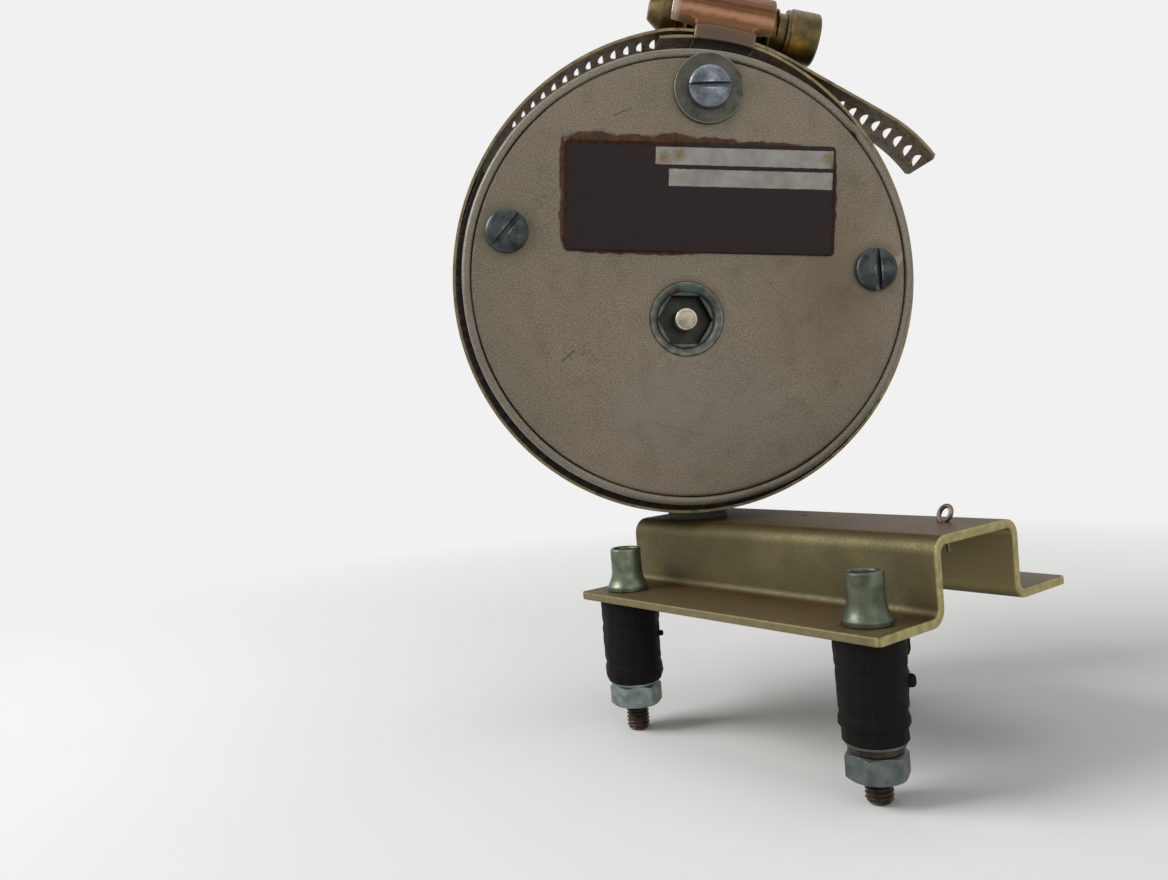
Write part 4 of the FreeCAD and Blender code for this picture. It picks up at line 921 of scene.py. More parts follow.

# %% [markdown]
# The cover screws are blued steel with low domes; the upper one takes a lighter copy of the
# finish, as painted light. A dome is a lathe form, and the slot is a box taken out of it
# with a Boolean, which is then applied. The loose washer is a flat ring with worn edges.

# %% Screws and washer on the cover
def worn_metal(name, main, shadow, bright, spot, share, metallic=0.85, rough=0.38):
    """Bare or blued metal: tone drifts over 3 mm, stains gather in spots, raised edges are rubbed bright, and
    inward corners are darkened nearly to black as painted shade.
    """
    material, coords = new_finish(name, metallic, rough)
    spots = patches(coords, 1.3, 5.0, 0.52, 0.68, 0.65)
    base = layered(mixed(patches(coords, 3.0, 4.0), shadow, main),
                   (marked(coords, "edge"), bright, 0.7), (spots, spot, share),
                   # painted shade: inward corners, marked by how sharply the surface bends inwards, go nearly
                   # black
                   (marked(coords, "hollow"), "#15130F", 0.9))
    stained = spread(spots, rough, rough + 0.35 * share)
    return surfaced(material, base, stained, noise(coords, 0.35, 3.0), 0.015)


blued = worn_metal("blued steel", "#464C4D", "#282C2C", "#7F8788", "#2E2A1F", 0.6)
# a lighter copy of blued steel for the upper screw, which looks more lit: painted light
lit_blued_copy = worn_metal("blued steel, painted lighter as lit", "#7B8289", "#4C5258", "#A9B0B6", "#57493F", 0.6)
old_brass = worn_metal("brass under green-brown patina", "#494740", "#34342C", "#85816D", "#363A2F",
                       0.6, 0.6, 0.45)
DOME_RADIUS, DOME_HEIGHT, DOME_START = 4.45, 2.2, 0.9
SLOT_DEEP, SLOT_HALF = 1.0, 0.6
UPPER, WASHER_LIFT, WASHER_HOLE, WASHER_OUTER = 1, 0.8, 2.1, 7.35

rise = np.linspace(0, 1, 10) * np.pi / 2
dome = np.stack([DOME_RADIUS * np.cos(rise) ** 0.8,
                 -DOME_START - (DOME_HEIGHT - DOME_START) * np.sin(rise)], -1)
head_profile = np.concatenate([[(0, 0), (DOME_RADIUS - 0.15, 0), (DOME_RADIUS, -0.2)], dome[:-1],
                               [(0, -DOME_HEIGHT)]])
head_form = lathe(head_profile, 72, along="y")
slot_corners, slot_sides = box_form((-6, -3.0, -SLOT_HALF), (6, -SLOT_DEEP, SLOT_HALF))
for number, (x, z, slot) in enumerate(SCREWS):
    place = (x, -WASHER_LIFT * (number == UPPER), z)
    # the upper screw takes the lighter copy of blued steel: painted light
    head = piece("cover_screw_%d" % number, placed(head_form, place, on_can),
                 lit_blued_copy if number == UPPER else blued,
                 ["cover_screws"] if number == 0 else ())
    turned = slot_corners @ about_y(-math.radians(slot)).T
    without(head, [placed((turned, slot_sides), place, on_can)])
x, z, _ = SCREWS[UPPER]
washer_profile = rounded_box((WASHER_HOLE, 0), (WASHER_OUTER, -WASHER_LIFT), [0, 0.1, 0.28, 0], 5)
washer = lathe(washer_profile, 120, along="y", swell=lambda a, y: 0.05 * np.sin(3 * a + 2))
piece("loose_washer", placed(washer, (x, 0, z), on_can), old_brass, ["face_washer"])
print("cover screws:", len(SCREWS))

# %% [markdown]
# The nameplate is thin metal with a dark baked finish and two pale fields, which are worn and
# stained at their ends as in the photograph. Rust creeps over its upper left edge. The fields
# are level with the plate, so they are drawn in its finish as rectangles with ragged edges,
# and the plate itself is a grid bent very slightly.

# %% Nameplate
FIELDS = [((10.95, 25.05), (18.65, 1.75)), ((12.3, 20.6), (17.2, 1.7))]
BLOTS = [(-6.0, 24.6, 1.9), (-2.9, 25.3, 1.6), (28.9, 25.6, 1.7), (29.4, 24.2, 1.2)]
RUSTY_EDGES = [((-15.0, 28.4), (13.0, 1.1), 0.5, 1.0), ((-27.3, 17.0), (0.9, 12.0), 0.5, 1.0),
               ((-14.0, 4.6), (15.0, 0.6), 0.5, 0.6), ((29.9, 14.0), (0.3, 10.0), 0.4, 0.5)]
PLATE_CORNER, PLATE_THICKNESS = 0.8, 0.5


def plate_finish():
    """Dark tones by noise, pale inside the fields' rectangles, rust by the distance from the edges."""
    material, coords = new_finish("dark baked finish on the plate", 0.0, 0.6, 0.2, CAN_ROLL)
    crisp, ragged = shaken(coords, 0.8, 0.25), shaken(coords, 1.8, 1.8)
    fields = most(*[patch(crisp, centre, half, 0.12) for centre, half in FIELDS])
    pale = layered(mixed(patches(coords, 3.0, 3.0), "#8E8983", "#A39E97"),
                   (patches(coords, 1.0, 5.0, 0.62, 0.72, 0.65), "#7A7066", 0.6))
    for x, z, reach in BLOTS:
        pale = layered(pale, (near(shaken(coords, 0.9, 1.8), (x, 0, z), 0.2 * reach, reach), "#7E6534", 0.8))
    rust = most(*[times(patch(ragged, centre, half, soft), share)
                  for centre, half, soft, share in RUSTY_EDGES])
    rusty_tone = mixed(patches(coords, 0.9, 4.0), "#21120C", "#432616")
    base = layered(mixed(patches(coords, 5.0, 5.0, 0.35, 0.65, 0.6), "#1D1212", "#231616"),
                   (patches(coords, 0.5, 3.0, 0.62, 0.72, 0.6), "#463A34", 0.35), (fields, pale, 1.0),
                   (rust, rusty_tone, 1.0))
    height = maths("ADD", times(rust, 0.8), noise(coords, 0.4, 4.0, 0.6))
    return surfaced(material, base, spread(rust, 0.55, 0.9), height, 0.03, 0.6)


def plate():
    """A slab: rings shrink its rounded outline towards the middle, and its left end lifts as exp(-d^2)."""
    half = np.array(PLATE_HALF)
    outline = rounded_box(-half, half, [PLATE_CORNER] * 4, 6)
    steps = np.linspace(0, 1, 40)[:-1, None]
    sides = [a + (b - a) * steps for a, b in zip(outline, np.roll(outline, -1, 0))
             if np.linalg.norm(b - a) > 2]
    ring = np.concatenate([outline] + sides)
    ring = ring[np.argsort(np.arctan2(ring[:, 1] / half[1], ring[:, 0] / half[0]))]
    top = -PLATE_THICKNESS
    rows = [(1.0, 0.0, 0.0), (1.0, top + 0.18, 0.0), (1.0, top + 0.06, 0.05), (1.0, top, 0.16)]
    rows += [(share, top, 0.16) for share in np.linspace(0.97, 0.0, 14)]
    made = []
    for share, y, inset in rows:
        x, z = (ring * share - np.sign(ring) * inset * (share > 0.5)).T
        lift = 0.10 * np.exp(-((x + 27) ** 2 + (z - 11) ** 2) / 60) * (y < -0.3)
        made.append(np.stack([x + PLATE_CENTRE[0], y - lift, z + PLATE_CENTRE[1]], -1))
    return np.concatenate(made), quads(len(rows), len(ring)).tolist() + [list(range(len(ring)))]


piece("plate", placed(plate(), carry=on_can), plate_finish(), ["nameplate"])
print("plate:", [2 * h for h in PLATE_HALF], "mm, with", len(FIELDS), "pale fields")

# %% [markdown]
# In the middle is a brass bush with a dished mouth. At its bottom a hexagon socket is sunk
# round the end of a threaded post. Dish and socket are one surface: its radius at each depth
# follows the circle of the dish, and below that the hexagon, whose radius is half its width
# across flats over the cosine of the angle from the nearest flat.

# %% Adjuster bush and post
LIP_RADIUS, DISH_WIDTH, DISH_DEPTH = 7.35, 1.55, 1.7
SOCKET_FLAT, SOCKET_FLOOR = 4.95, 5.0
POST_RADIUS, POST_LENGTH = 2.4, 17.0


def bush():
    """Rows of one radius each, or of the hexagon's radii, in order round the closed section."""
    a = angles(144)
    rows = [(BUSH_RADIUS, 3.0), (BUSH_RADIUS, 0.2), (BUSH_RADIUS - 0.05, 0.06), (7.5, 0.0), (LIP_RADIUS, 0.02)]
    rows += [(LIP_RADIUS - DISH_WIDTH * np.sin(t), 0.02 + DISH_DEPTH * (1 - np.cos(t)) ** 0.8)
             for t in np.linspace(0.2, np.pi / 2, 10)]
    rows += [(hexagon(a, SOCKET_FLAT) + grow, y) for y, grow in [(1.72, 0.25), (1.8, 0.08), (1.95, 0.0),
                                                                 (SOCKET_FLOOR, 0.0)]]
    rows += [(2.45, SOCKET_FLOOR), (2.45, 12.5), (5.5, 12.5), (5.5, 5.0), (9.75, 5.0), (9.75, 3.0)]
    radius, height = np.array([r + 0 * a for r, _ in rows]), np.array([y for _, y in rows])[:, None]
    return around(radius, a, height, "y"), quads(len(rows), len(a), closed_rows=True)


def bush_finish():
    """Old brass, darkened down in the socket as painted shade, with verdigris gathered at the top of the dish.
    """
    material, coords = new_finish("dark brass of the adjuster bush", 0.7, 0.45, roll=CAN_ROLL)
    # painted shade: the socket darkens nearly to black below 1.2 mm of depth
    painted_socket_shade = between(parts_of(coords)["Y"], 1.2 * MM, 2.6 * MM)
    green = near(shaken(coords, 1.0, 2.2), (BUSH[0] + 0.6, 0, BUSH[1] + 6.2), 0.3, 1.5, (0.5, 0.0, 1.1))
    base = layered(mixed(patches(coords, 2.0, 4.0), "#434641", "#676A60"),
                   (painted_socket_shade, "#12140F", 0.85), (green, "#2F6558", 0.6))
    feed(shader_of(material).inputs["Metallic"], spread(green, 0.7, 0.0))
    return surfaced(material, base, spread(green, 0.42, 0.85), noise(coords, 0.5, 4.0), 0.03)


at_bush = (BUSH[0], 0, BUSH[1])
piece("bush", placed(bush(), at_bush, on_can), bush_finish(), ["adjuster_bush"])
post_metal = worn_metal("bright worn brass", "#A79F8B", "#7C7666", "#D8D2BE", "#5D5A48", 0.3)
profile = rounded([(0, 0.2), (POST_RADIUS - 0.2, 0.2), (POST_RADIUS, 0.6), (POST_RADIUS, POST_LENGTH),
                   (0, POST_LENGTH)], [0, 0.4, 0.3, 0, 0], 4)
post = lathe(profile, 48, along="y")
piece("post", placed(post, at_bush, on_can), post_metal, ["capsule_post"])
print("bush and post at", BUSH, "mm from the can's axis")

# %% [markdown]
# The split pin is half-round wire bent back on itself: its two flat sides meet in the legs
# and open out to the eye. It is a tube that follows a curve. At each point the section
# stands in the plane of the two directions that are square to the curve.

# %% Split pin
PIN_EYE, PIN_WIRE, PIN_FLAT, PIN_SIDES = 1.4, 0.5, 0.85, 14
PIN_TURN, PIN_LEAN = math.radians(-14), (0.22, 0.28, 0.0)
PIN_OPENING = (math.radians(-66), math.radians(246))
LEG_SIDE, TIP_SIDE = 0.52, 1.05


def tube(path, radius, flat, count):
    """Sweeps an ellipse along points: u and v are square to the tangent t, with v = t x n for a fixed n."""
    t = np.gradient(path, axis=0)
    t /= np.linalg.norm(t, axis=1)[:, None]
    n = np.array([0.0, 1.0, 0.0])
    v = np.cross(t, n)
    a = angles(count)
    ring = radius * (np.cos(a)[None, :, None] * n + flat * np.sin(a)[None, :, None] * v[:, None])
    return (path[:, None] + ring).reshape(-1, 3), capped(len(path), count)


pin_low, pin_high = box_of("split_pin")
hat_top = bracket_high[2]
pin_rise = pin_high[2] - PIN_WIRE - PIN_EYE - hat_top
sweep = np.linspace(*PIN_OPENING, 40)
eye = np.stack([PIN_EYE * np.cos(sweep), 0 * sweep, PIN_EYE * np.sin(sweep)], -1)
leg = np.array([LEG_SIDE, 0, -PIN_EYE * 0.9])
tip = np.array([TIP_SIDE, 0, pin_low[2] + 0.3 - hat_top - pin_rise])
right = leg + (tip - leg) * np.linspace(0, 1, 12)[1:, None]
path = np.concatenate([right[::-1], eye, right * (-1, 1, 1)])
lean = np.repeat(np.clip(path[:, 2:] + PIN_EYE, 0, None) * PIN_LEAN, PIN_SIDES, 0)
points, faces = tube(path, PIN_WIRE, PIN_FLAT, PIN_SIDES)
place = np.array([*(pin_low + pin_high)[:2] / 2, hat_top + pin_rise])
pin_metal = dull_zinc("rusting wire of the split pin", "#8E8579", "#5E5048", "#6B3F28", 0.95)
wire_form = points @ about_z(PIN_TURN).T + place + lean, faces
piece("split_wire", wire_form, pin_metal, ["split_pin"], 60.0)
print("split pin's eye stands", round(pin_rise + PIN_EYE + PIN_WIRE, 2), "mm over the hat")

# %% [markdown]
# The clamp band is one long strip, so every point of it is a place along it, s, and a place
# across it, t. One function gives the strip's line round the can: it lies on the liner,
# lifts off towards the worm's housing on both sides, and leaves the housing as a straight
# tail whose end bends down a little. The slots are D-shaped. A cell with one slot is a grid
# of rings from the slot's edge out to the cell's rectangle, and cells share the points of
# their common sides, so the strip is one sheet once its doubles are merged. Solidify gives
# it its thickness.

# %% Line of the band
LINER = 1.5
BAND_THICKNESS, BAND_WIDTH, BAND_FROM_FACE = 0.6, 16.0, 5.5
BAND_MIDDLE = BAND_FROM_FACE + BAND_WIDTH / 2
BAND_RADIUS = CAN_RADIUS + LINER + BAND_THICKNESS / 2
BAND_START, SEAT_END, BAND_DOWN, BAND_UP, BAND_ENTRY, BAND_EXIT = -16.0, 10.0, 76.0, 256.0, 346.0, 378.3
SEAT_LIFT, ENTRY_LIFT, EXIT_LIFT = 2.53, 4.0, 2.93
TAIL_LENGTH, TAIL_STRAIGHT, TAIL_BEND = 35.5, 22.0, 31.0
FIRST_SLOT, LINE_STEPS = 300.0, 3000
SLOT_PITCH, SLOT_LENGTH, SLOT_DEPTH, SLOT_SLANT = 3.0, 7.4, 1.3, math.radians(8.0)


def clear_by(lift, away, whole):
    """A smooth start: lift * (1 - cos away) / (1 - cos whole), with both angles in degrees."""
    return lift * (1 - np.cos(np.radians(away))) / (1 - math.cos(math.radians(whole)))


def band_lift(turn):
    """How far the strip stands off the liner at each angle from the housing, in mm."""
    down = clear_by(SEAT_LIFT, BAND_DOWN - turn, BAND_DOWN - SEAT_END)
    up = clear_by(ENTRY_LIFT, turn - BAND_UP, BAND_ENTRY - BAND_UP)
    over = ENTRY_LIFT + (turn - BAND_ENTRY) / (BAND_EXIT - BAND_ENTRY) * (EXIT_LIFT - ENTRY_LIFT)
    stretches = [turn <= SEAT_END, turn <= BAND_DOWN, turn <= BAND_UP, turn <= BAND_ENTRY]
    return np.select(stretches, [SEAT_LIFT + 0 * turn, down, 0 * turn, up], over)


def band_line():
    """The strip's line as (s, x, z), where s sums its short steps, and s at the first slot."""
    turn = np.linspace(BAND_START, BAND_EXIT, LINE_STEPS)
    radius = BAND_RADIUS + band_lift(turn)
    x, z = radius * np.sin(np.radians(turn)), radius * np.cos(np.radians(turn))
    run = np.linspace(0, TAIL_LENGTH, 200)[1:]
    leaving = math.radians(BAND_EXIT)
    sag = np.clip(run - TAIL_STRAIGHT, 0, None) ** 2 / (2 * TAIL_BEND)
    x = np.append(x, x[-1] + run * math.cos(leaving) - sag * math.sin(leaving))
    z = np.append(z, z[-1] - run * math.sin(leaving) - sag * math.cos(leaving))
    s = np.append(0, np.cumsum(np.hypot(np.diff(x), np.diff(z))))
    return s, x, z, np.interp(FIRST_SLOT, turn, s[:LINE_STEPS])


band_s, band_x, band_z, first_slot = band_line()


def on_band(flat):
    """Points (s, t) of the strip to (x, y, z) in the clamp's frame."""
    s, t = flat[:, 0], flat[:, 1]
    return np.stack([np.interp(s, band_s, band_x), BAND_FROM_FACE + t, np.interp(s, band_s, band_z)], -1)


print("band length", round(band_s[-1], 1), "mm, of which tail", TAIL_LENGTH, "mm")

# %% Finishes of the clamp
WORM_AXIS = BAND_RADIUS + 9.18
# painted light on the barrel: the light line is a painted highlight, the two dark lines are painted shade,
# each at a height over the worm's axis
BARREL_HIGHLIGHT_AND_SHADE = [(WORM_AXIS - 0.5, 1.2, 0.45, "#AC8568"), (WORM_AXIS + 1.6, 1.3, 0.6, "#4E2D1D"),
                (WORM_AXIS + 5.4, 1.3, 0.4, "#4E2D1D")]


def strip_steel():
    """Strip steel gone dark: olive grey, stained in patches, with thin light lines at its edges."""
    material, coords = new_finish("stained strip steel of the band", 0.55, roll=CLAMP_SWING)
    spots = patches(coords, 1.5, 5.0, 0.5, 0.68, 0.65)
    grain = noise(coords, 0.35, 2.0)
    base = layered(mixed(patches(coords, 4.0, 4.0), "#61512F", "#7E6B45"), (spots, "#453B2C", 0.5),
                   (between(grain, 0.55, 0.75), "#8A8069", 0.35), (marked(coords, "edge"), "#9A917A", 0.2))
    return surfaced(material, base, spread(spots, 0.42, 0.7), grain, 0.02)


def copper_plate():
    """Copper over steel, drawn in streaks along the barrel: bare and silvery at its left end, bare at its
    foot, which is also darkened as painted shade, and with painted highlight and shade lines along the barrel.
    """
    material, coords = new_finish("copper plate over pressed steel", 0.85, 0.42, roll=CLAMP_SWING)
    drawn_out = vector("MULTIPLY", coords, (0.12, 1.0, 1.0))
    base = layered(mixed(patches(drawn_out, 1.6, 2.0, 0.2, 0.8), "#5A3925", "#71492F"),
                   (patches(coords, 5.0, 3.0, 0.4, 0.7), "#5A4028", 0.6))
    place = parts_of(shaken(coords, 2.0, 1.2))
    # painted highlight and shade lines along the barrel
    for centre, half, share, tone in BARREL_HIGHLIGHT_AND_SHADE:
        offset = maths("ABSOLUTE", maths("SUBTRACT", place["Z"], centre * MM))
        base = layered(base, (between(offset, half * MM, 0.2 * half * MM), tone, share))
    specks = patches(coords, 0.5, 4.0, 0.6, 0.72, 0.65)
    # the foot is bare grey steel; its dark tone under the barrel is also painted shade
    base = layered(base, (between(place["Z"], 56.4 * MM, 53.0 * MM), "#484038", 0.85),
                   (between(place["X"], -10.6 * MM, -11.9 * MM), "#A09B93", 0.8), (specks, "#3F2A1C", 0.6),
                   (marked(coords, "edge"), "#A08558", 0.4))
    return surfaced(material, base, spread(specks, 0.42, 0.65), noise(coords, 0.5, 3.0), 0.02, 0.6)


def olive_brass():
    """Brass under an olive film, with a painted gold highlight at the lower rim of the head."""
    material, coords = new_finish("olive brass of the worm", 0.8, 0.42, roll=CLAMP_SWING)
    lower_rim = (15.6, BAND_FROM_FACE + 3.6, WORM_AXIS - 3.6)
    # painted highlight: a gold patch at the lower rim of the head, on the side the light comes from
    wear_and_highlight = near(shaken(coords, 1.6, 2.2), lower_rim, 0.4, 3.2, (0.9, 1.0, 1.3))
    grime_and_shade = patches(coords, 1.0, 5.0, 0.52, 0.68, 0.65)
    base = layered(mixed(patches(coords, 3.0, 4.0), "#42381F", "#5D4E2C"), (wear_and_highlight, "#A87D2A", 0.7),
                   (marked(coords, "edge"), "#867A52", 0.4), (grime_and_shade, "#453F2B", 0.5))
    return surfaced(material, base, spread(grime_and_shade, 0.36, 0.62), noise(coords, 0.4, 3.0), 0.02)


band_steel, copper, worm_brass = strip_steel(), copper_plate(), olive_brass()
old_rubber = moulded_rubber("crumbling black rubber strip", "#1D1C1A", "#3A352C", 0.7)
print("clamp finishes:", band_steel.name, "/", copper.name, "/", worm_brass.name)

# %% Band and liner
ACROSS = 13
RING_SHARES = np.array([0.0, 0.25, 0.55, 1.0])
LAST_SLOT_FROM_END, TAIL_TAPER, STRIP_STEP = 2.1, 2.6, 1.5
LINER_TURNS, LINER_OVERHANG, LINER_GAP = (60.0, 288.0), 0.5, 0.02


def slot_cell(s):
    """Rings from a D-shaped slot to its cell: p = (1 - k) * slot + k * cell, point by point."""
    half = SLOT_PITCH / 2
    t = np.linspace(-1, 1, ACROSS) * BAND_WIDTH / 2
    top = np.linspace(1, -1, 5)[1:-1] * half
    sides = [(0 * t + half, t), (top, 0 * top + BAND_WIDTH / 2),
             (0 * t - half, -t), (-top, 0 * top - BAND_WIDTH / 2)]
    cell = np.concatenate([np.stack(side, -1) for side in sides])
    v = np.linspace(-0.96, 0.96, ACROSS)
    flat_side = np.stack([SLOT_DEPTH / 2 - 0.15 * v ** 4, v * SLOT_LENGTH / 2], -1)
    bow = np.stack([SLOT_DEPTH / 2 - SLOT_DEPTH * np.sqrt(1 - v ** 2), -v * SLOT_LENGTH / 2], -1)
    ends = np.stack([np.linspace(0.55, 0.3, 3), np.full(3, SLOT_LENGTH / 2)], -1)
    slot = np.concatenate([flat_side, ends, bow, (ends * (1, -1))[::-1]])
    c, w = math.cos(SLOT_SLANT), math.sin(SLOT_SLANT)
    slot = slot @ np.array([[c, -w], [w, c]])
    k = RING_SHARES[:, None, None]
    points = (1 - k) * slot + k * cell + (s, BAND_WIDTH / 2)
    return points.reshape(-1, 2), quads(len(k), len(cell))


def plain_strip(start, end, corner=0.0):
    """A stretch without slots, in steps of about 1.5 mm. A corner narrows it towards its end."""
    s = np.linspace(start, end, max(3, int((end - start) / STRIP_STEP) + 1))
    u, v = np.meshgrid(s, np.linspace(-1, 1, ACROSS), indexing="ij")
    half = BAND_WIDTH / 2 - np.clip(u - (end - corner), 0, None) * TAIL_TAPER
    points = np.stack([u, BAND_WIDTH / 2 + v * half], -1).reshape(-1, 2)
    return points, quads(len(s), ACROSS, closed_columns=False)


last_slot = band_s[-1] - LAST_SLOT_FROM_END
slots = last_slot - SLOT_PITCH * np.arange(int((last_slot - first_slot) / SLOT_PITCH))[::-1]
strips = [plain_strip(0, slots[0] - SLOT_PITCH / 2)] + [slot_cell(s) for s in slots]
strips.append(plain_strip(slots[-1] + SLOT_PITCH / 2, band_s[-1], LAST_SLOT_FROM_END - SLOT_PITCH / 2))
flat, faces = stacked(strips)
band = piece("band_strip", (on_clamp(on_band(flat)), faces), band_steel, ["clamp_band"], 60.0)
thick = band.modifiers.new("thickness", "SOLIDIFY")
thick.thickness, thick.offset = BAND_THICKNESS * MM, 0.0
settle(band, 40.0)


def strip_liner():
    """A rubber strip between two radii, 60 to 288 degrees, whose edges are eaten by summed sines."""
    turn = np.radians(np.linspace(*LINER_TURNS, 420))[:, None]
    low, high = BAND_FROM_FACE - LINER_OVERHANG, BAND_FROM_FACE + BAND_WIDTH + LINER_OVERHANG
    corners = rounded_box((CAN_RADIUS + LINER_GAP, low), (CAN_RADIUS + LINER - LINER_GAP, high),
                          [0.2, 0.35, 0.35, 0.2], 4)
    eaten = 0.22 * np.sin(83 * turn) * np.sin(31 * turn + 1) + 0.16 * np.sin(141 * turn + 2) - 0.1
    y = corners[:, 1] + np.sign(corners[:, 1] - (low + high) / 2) * eaten
    return around(corners[:, 0], np.pi / 2 - turn, y, "y"), capped(len(turn), len(corners))


piece("liner_strip", placed(strip_liner(), carry=on_clamp), old_rubber, ["clamp_liner"])
print("slots in the band:", len(slots))

# %% [markdown]
# The housing is one pressed sheet: a barrel round the worm that runs down as two walls and
# spreads to a foot round both layers of the band. Its outer and inner sections have the same
# number of points, so one closed grid runs along the outside, round the sheet's end, back
# along the inside and round the other end. The sheet is shorter where it is wall and foot
# than where it is barrel, so each column of the grid has its own start and end, and the
# change between them makes the notches under the barrel's ends.

# %% Housing
BARREL_X, NECK_X = (-12.6, 10.0), (-7.2, 6.0)
NECK_DROP, NECK_BLEND = 2.2, 0.5
HOUSING_SHEET, HOUSING_LIP = 0.9, 0.3
WORM_RADIUS, WORM_CORE = 5.6, 4.3
FOOT_TOP = BAND_RADIUS + ENTRY_LIFT + BAND_THICKNESS / 2
FOOT_BOTTOM = BAND_RADIUS + SEAT_LIFT - BAND_THICKNESS / 2


def housing_section(barrel, half, top, bottom, radii):
    """Barrel, walls and foot as (y, z), with each straight side cut in eight so that it can bend."""
    side = [(barrel, top), (half, top), (half, bottom)]
    corners = [(-barrel, WORM_AXIS + barrel), (barrel, WORM_AXIS + barrel)] + side
    corners += [(-y, z) for y, z in side[::-1]]
    made = rounded(corners, [barrel, barrel] + radii + radii[::-1], 8)
    share = np.linspace(0, 1, 9)[:-1, None]
    return (made[:, None] * (1 - share) + np.roll(made, -1, 0)[:, None] * share).reshape(-1, 2)


def pressed_housing():
    """x = start + u (end - start) per column; ends follow a smooth step in z; the foot sinks by x^2 / 2R."""
    outer = housing_section(WORM_RADIUS + HOUSING_SHEET, BAND_WIDTH / 2 + HOUSING_SHEET,
                            FOOT_TOP + HOUSING_SHEET, FOOT_BOTTOM - 0.55, [1.3, 1.1, 0.5])
    inner = housing_section(WORM_RADIUS, BAND_WIDTH / 2, FOOT_TOP, FOOT_BOTTOM, [0.5, 0.3, 0.2])
    up = np.clip((outer[:, 1] - (WORM_AXIS - NECK_DROP)) / NECK_BLEND, 0, 1)
    up = up * up * (3 - 2 * up)
    start, end = [NECK_X[i] + (BARREL_X[i] - NECK_X[i]) * up for i in (0, 1)]
    run = np.linspace(0, 1, 30)[:, None]
    turn = np.linspace(0, np.pi, 7)[1:-1, None]
    x_run = (start + HOUSING_LIP) + run * (end - start - 2 * HOUSING_LIP)
    round_end = outer + (inner - outer) * (1 - np.cos(turn))[:, :, None] / 2
    tuck = HOUSING_LIP * (1 - np.sin(turn))
    rows = [(x_run, outer[None] + 0 * run[:, :, None]), (end - tuck, round_end),
            (x_run[::-1], inner[None] + 0 * run[:, :, None]), ((start + tuck)[::-1], round_end[::-1])]
    points = np.concatenate([np.dstack([x, section]) for x, section in rows])
    foot = np.clip((WORM_AXIS - 1.0 - points[..., 2]) / 3.0, 0, 1)
    points[..., 2] -= foot * points[..., 0] ** 2 / (2 * FOOT_TOP)
    dents = 0.06 * np.sin(points[..., 0] * 0.7 + 1) * np.sin(points[..., 2] * 0.9)
    points[..., 1] += dents * np.sign(points[..., 1]) + BAND_MIDDLE
    return points.reshape(-1, 3), quads(points.shape[0], points.shape[1], closed_rows=True)


housing = pressed_housing()
piece("housing_sheet", placed(housing, carry=on_clamp), copper, ["clamp_housing"])
print("housing:", len(housing[1]), "quads, barrel", BARREL_X[1] - BARREL_X[0], "mm long")

# %% [markdown]
# The worm is a coarse thread, a plain neck, a slotted head and a coned tip. All are turned
# about z first and then laid along x. Its thread has the pitch of the band's slots.

# %% Worm
HEAD_X, HEAD_RADIUS, COLLAR = (13.5, 20.5), 5.6, 0.35
TIP_X, TIP_RADIUS, TIP_LENGTH = -17.2, 2.2, 3.0
THREAD_HALF, WORM_THREAD_DEPTH = 11.2, 1.3
HEAD_SLOT_TURN, HEAD_SLOT_DEPTH, HEAD_SLOT_HALF = math.radians(-67), 1.6, 0.65
head_low, head_high = HEAD_X
profile = rounded([(0, TIP_X), (TIP_RADIUS, TIP_X), (WORM_CORE, TIP_X + TIP_LENGTH),
                   (WORM_CORE, head_low - 0.4), (HEAD_RADIUS - COLLAR, head_low - 0.4),
                   (HEAD_RADIUS - COLLAR, head_low + COLLAR),
                   (HEAD_RADIUS, head_low + 2 * COLLAR), (HEAD_RADIUS, head_high), (0, head_high)],
                  [0, 0.5, 1.0, 0.4, 0.2, 0.15, 0.3, 0.7, 0], 6)
worm_thread = thread(-THREAD_HALF, THREAD_HALF, WORM_RADIUS - 0.1, SLOT_PITCH, WORM_THREAD_DEPTH, 96)
points, faces = stacked([lathe(profile, 96), worm_thread])
on_worm = (0, BAND_MIDDLE, WORM_AXIS)
worm = piece("worm", placed((points[:, [2, 0, 1]], faces), on_worm, on_clamp), worm_brass, ["clamp_screw"],
             35.0)
corners, sides = box_form((head_high - HEAD_SLOT_DEPTH, -7, -HEAD_SLOT_HALF),
                          (head_high + 2, 7, HEAD_SLOT_HALF))
c, w = math.cos(HEAD_SLOT_TURN), math.sin(HEAD_SLOT_TURN)
corners = corners @ np.array([[1, 0, 0], [0, c, w], [0, -w, c]])
without(worm, [placed((corners, sides), on_worm, on_clamp)])
print("worm from", TIP_X, "to", head_high, "mm along the housing")

# %% [markdown]
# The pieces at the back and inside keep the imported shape. Those with visible edges are
# copied, their triangles are merged to flat faces, and each outward edge gets a small
# bevel. Pieces that can't be seen only get their finish. Each finish is a recipe of two
# tones and its own spots, so nothing is one flat colour.

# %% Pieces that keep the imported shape
BEVELLED_FROM = math.radians(30)


def softened(name, node, finish, width):
    """Edges that turn outwards by over 30 degrees are bevelled by width, in mm."""
    shape = bmesh.new()
    shape.from_mesh(nodes[node].data)
    bmesh.ops.remove_doubles(shape, verts=shape.verts, dist=2 * MERGED * MM)
    bmesh.ops.dissolve_limit(shape, angle_limit=math.radians(0.6), verts=shape.verts, edges=shape.edges)
    corners = [e for e in shape.edges if len(e.link_faces) == 2 and e.calc_face_angle_signed() > BEVELLED_FROM]
    bmesh.ops.bevel(shape, geom=corners, offset=width * MM, segments=2, profile=0.5, affect="EDGES",
                    clamp_overlap=True)
    points = np.array([v.co for v in shape.verts]) / MM
    shape.verts.index_update()
    faces = [[v.index for v in f.verts] for f in shape.faces]
    shape.free()
    even_normals(piece(name, (points, faces), finish, [node], 35.0))


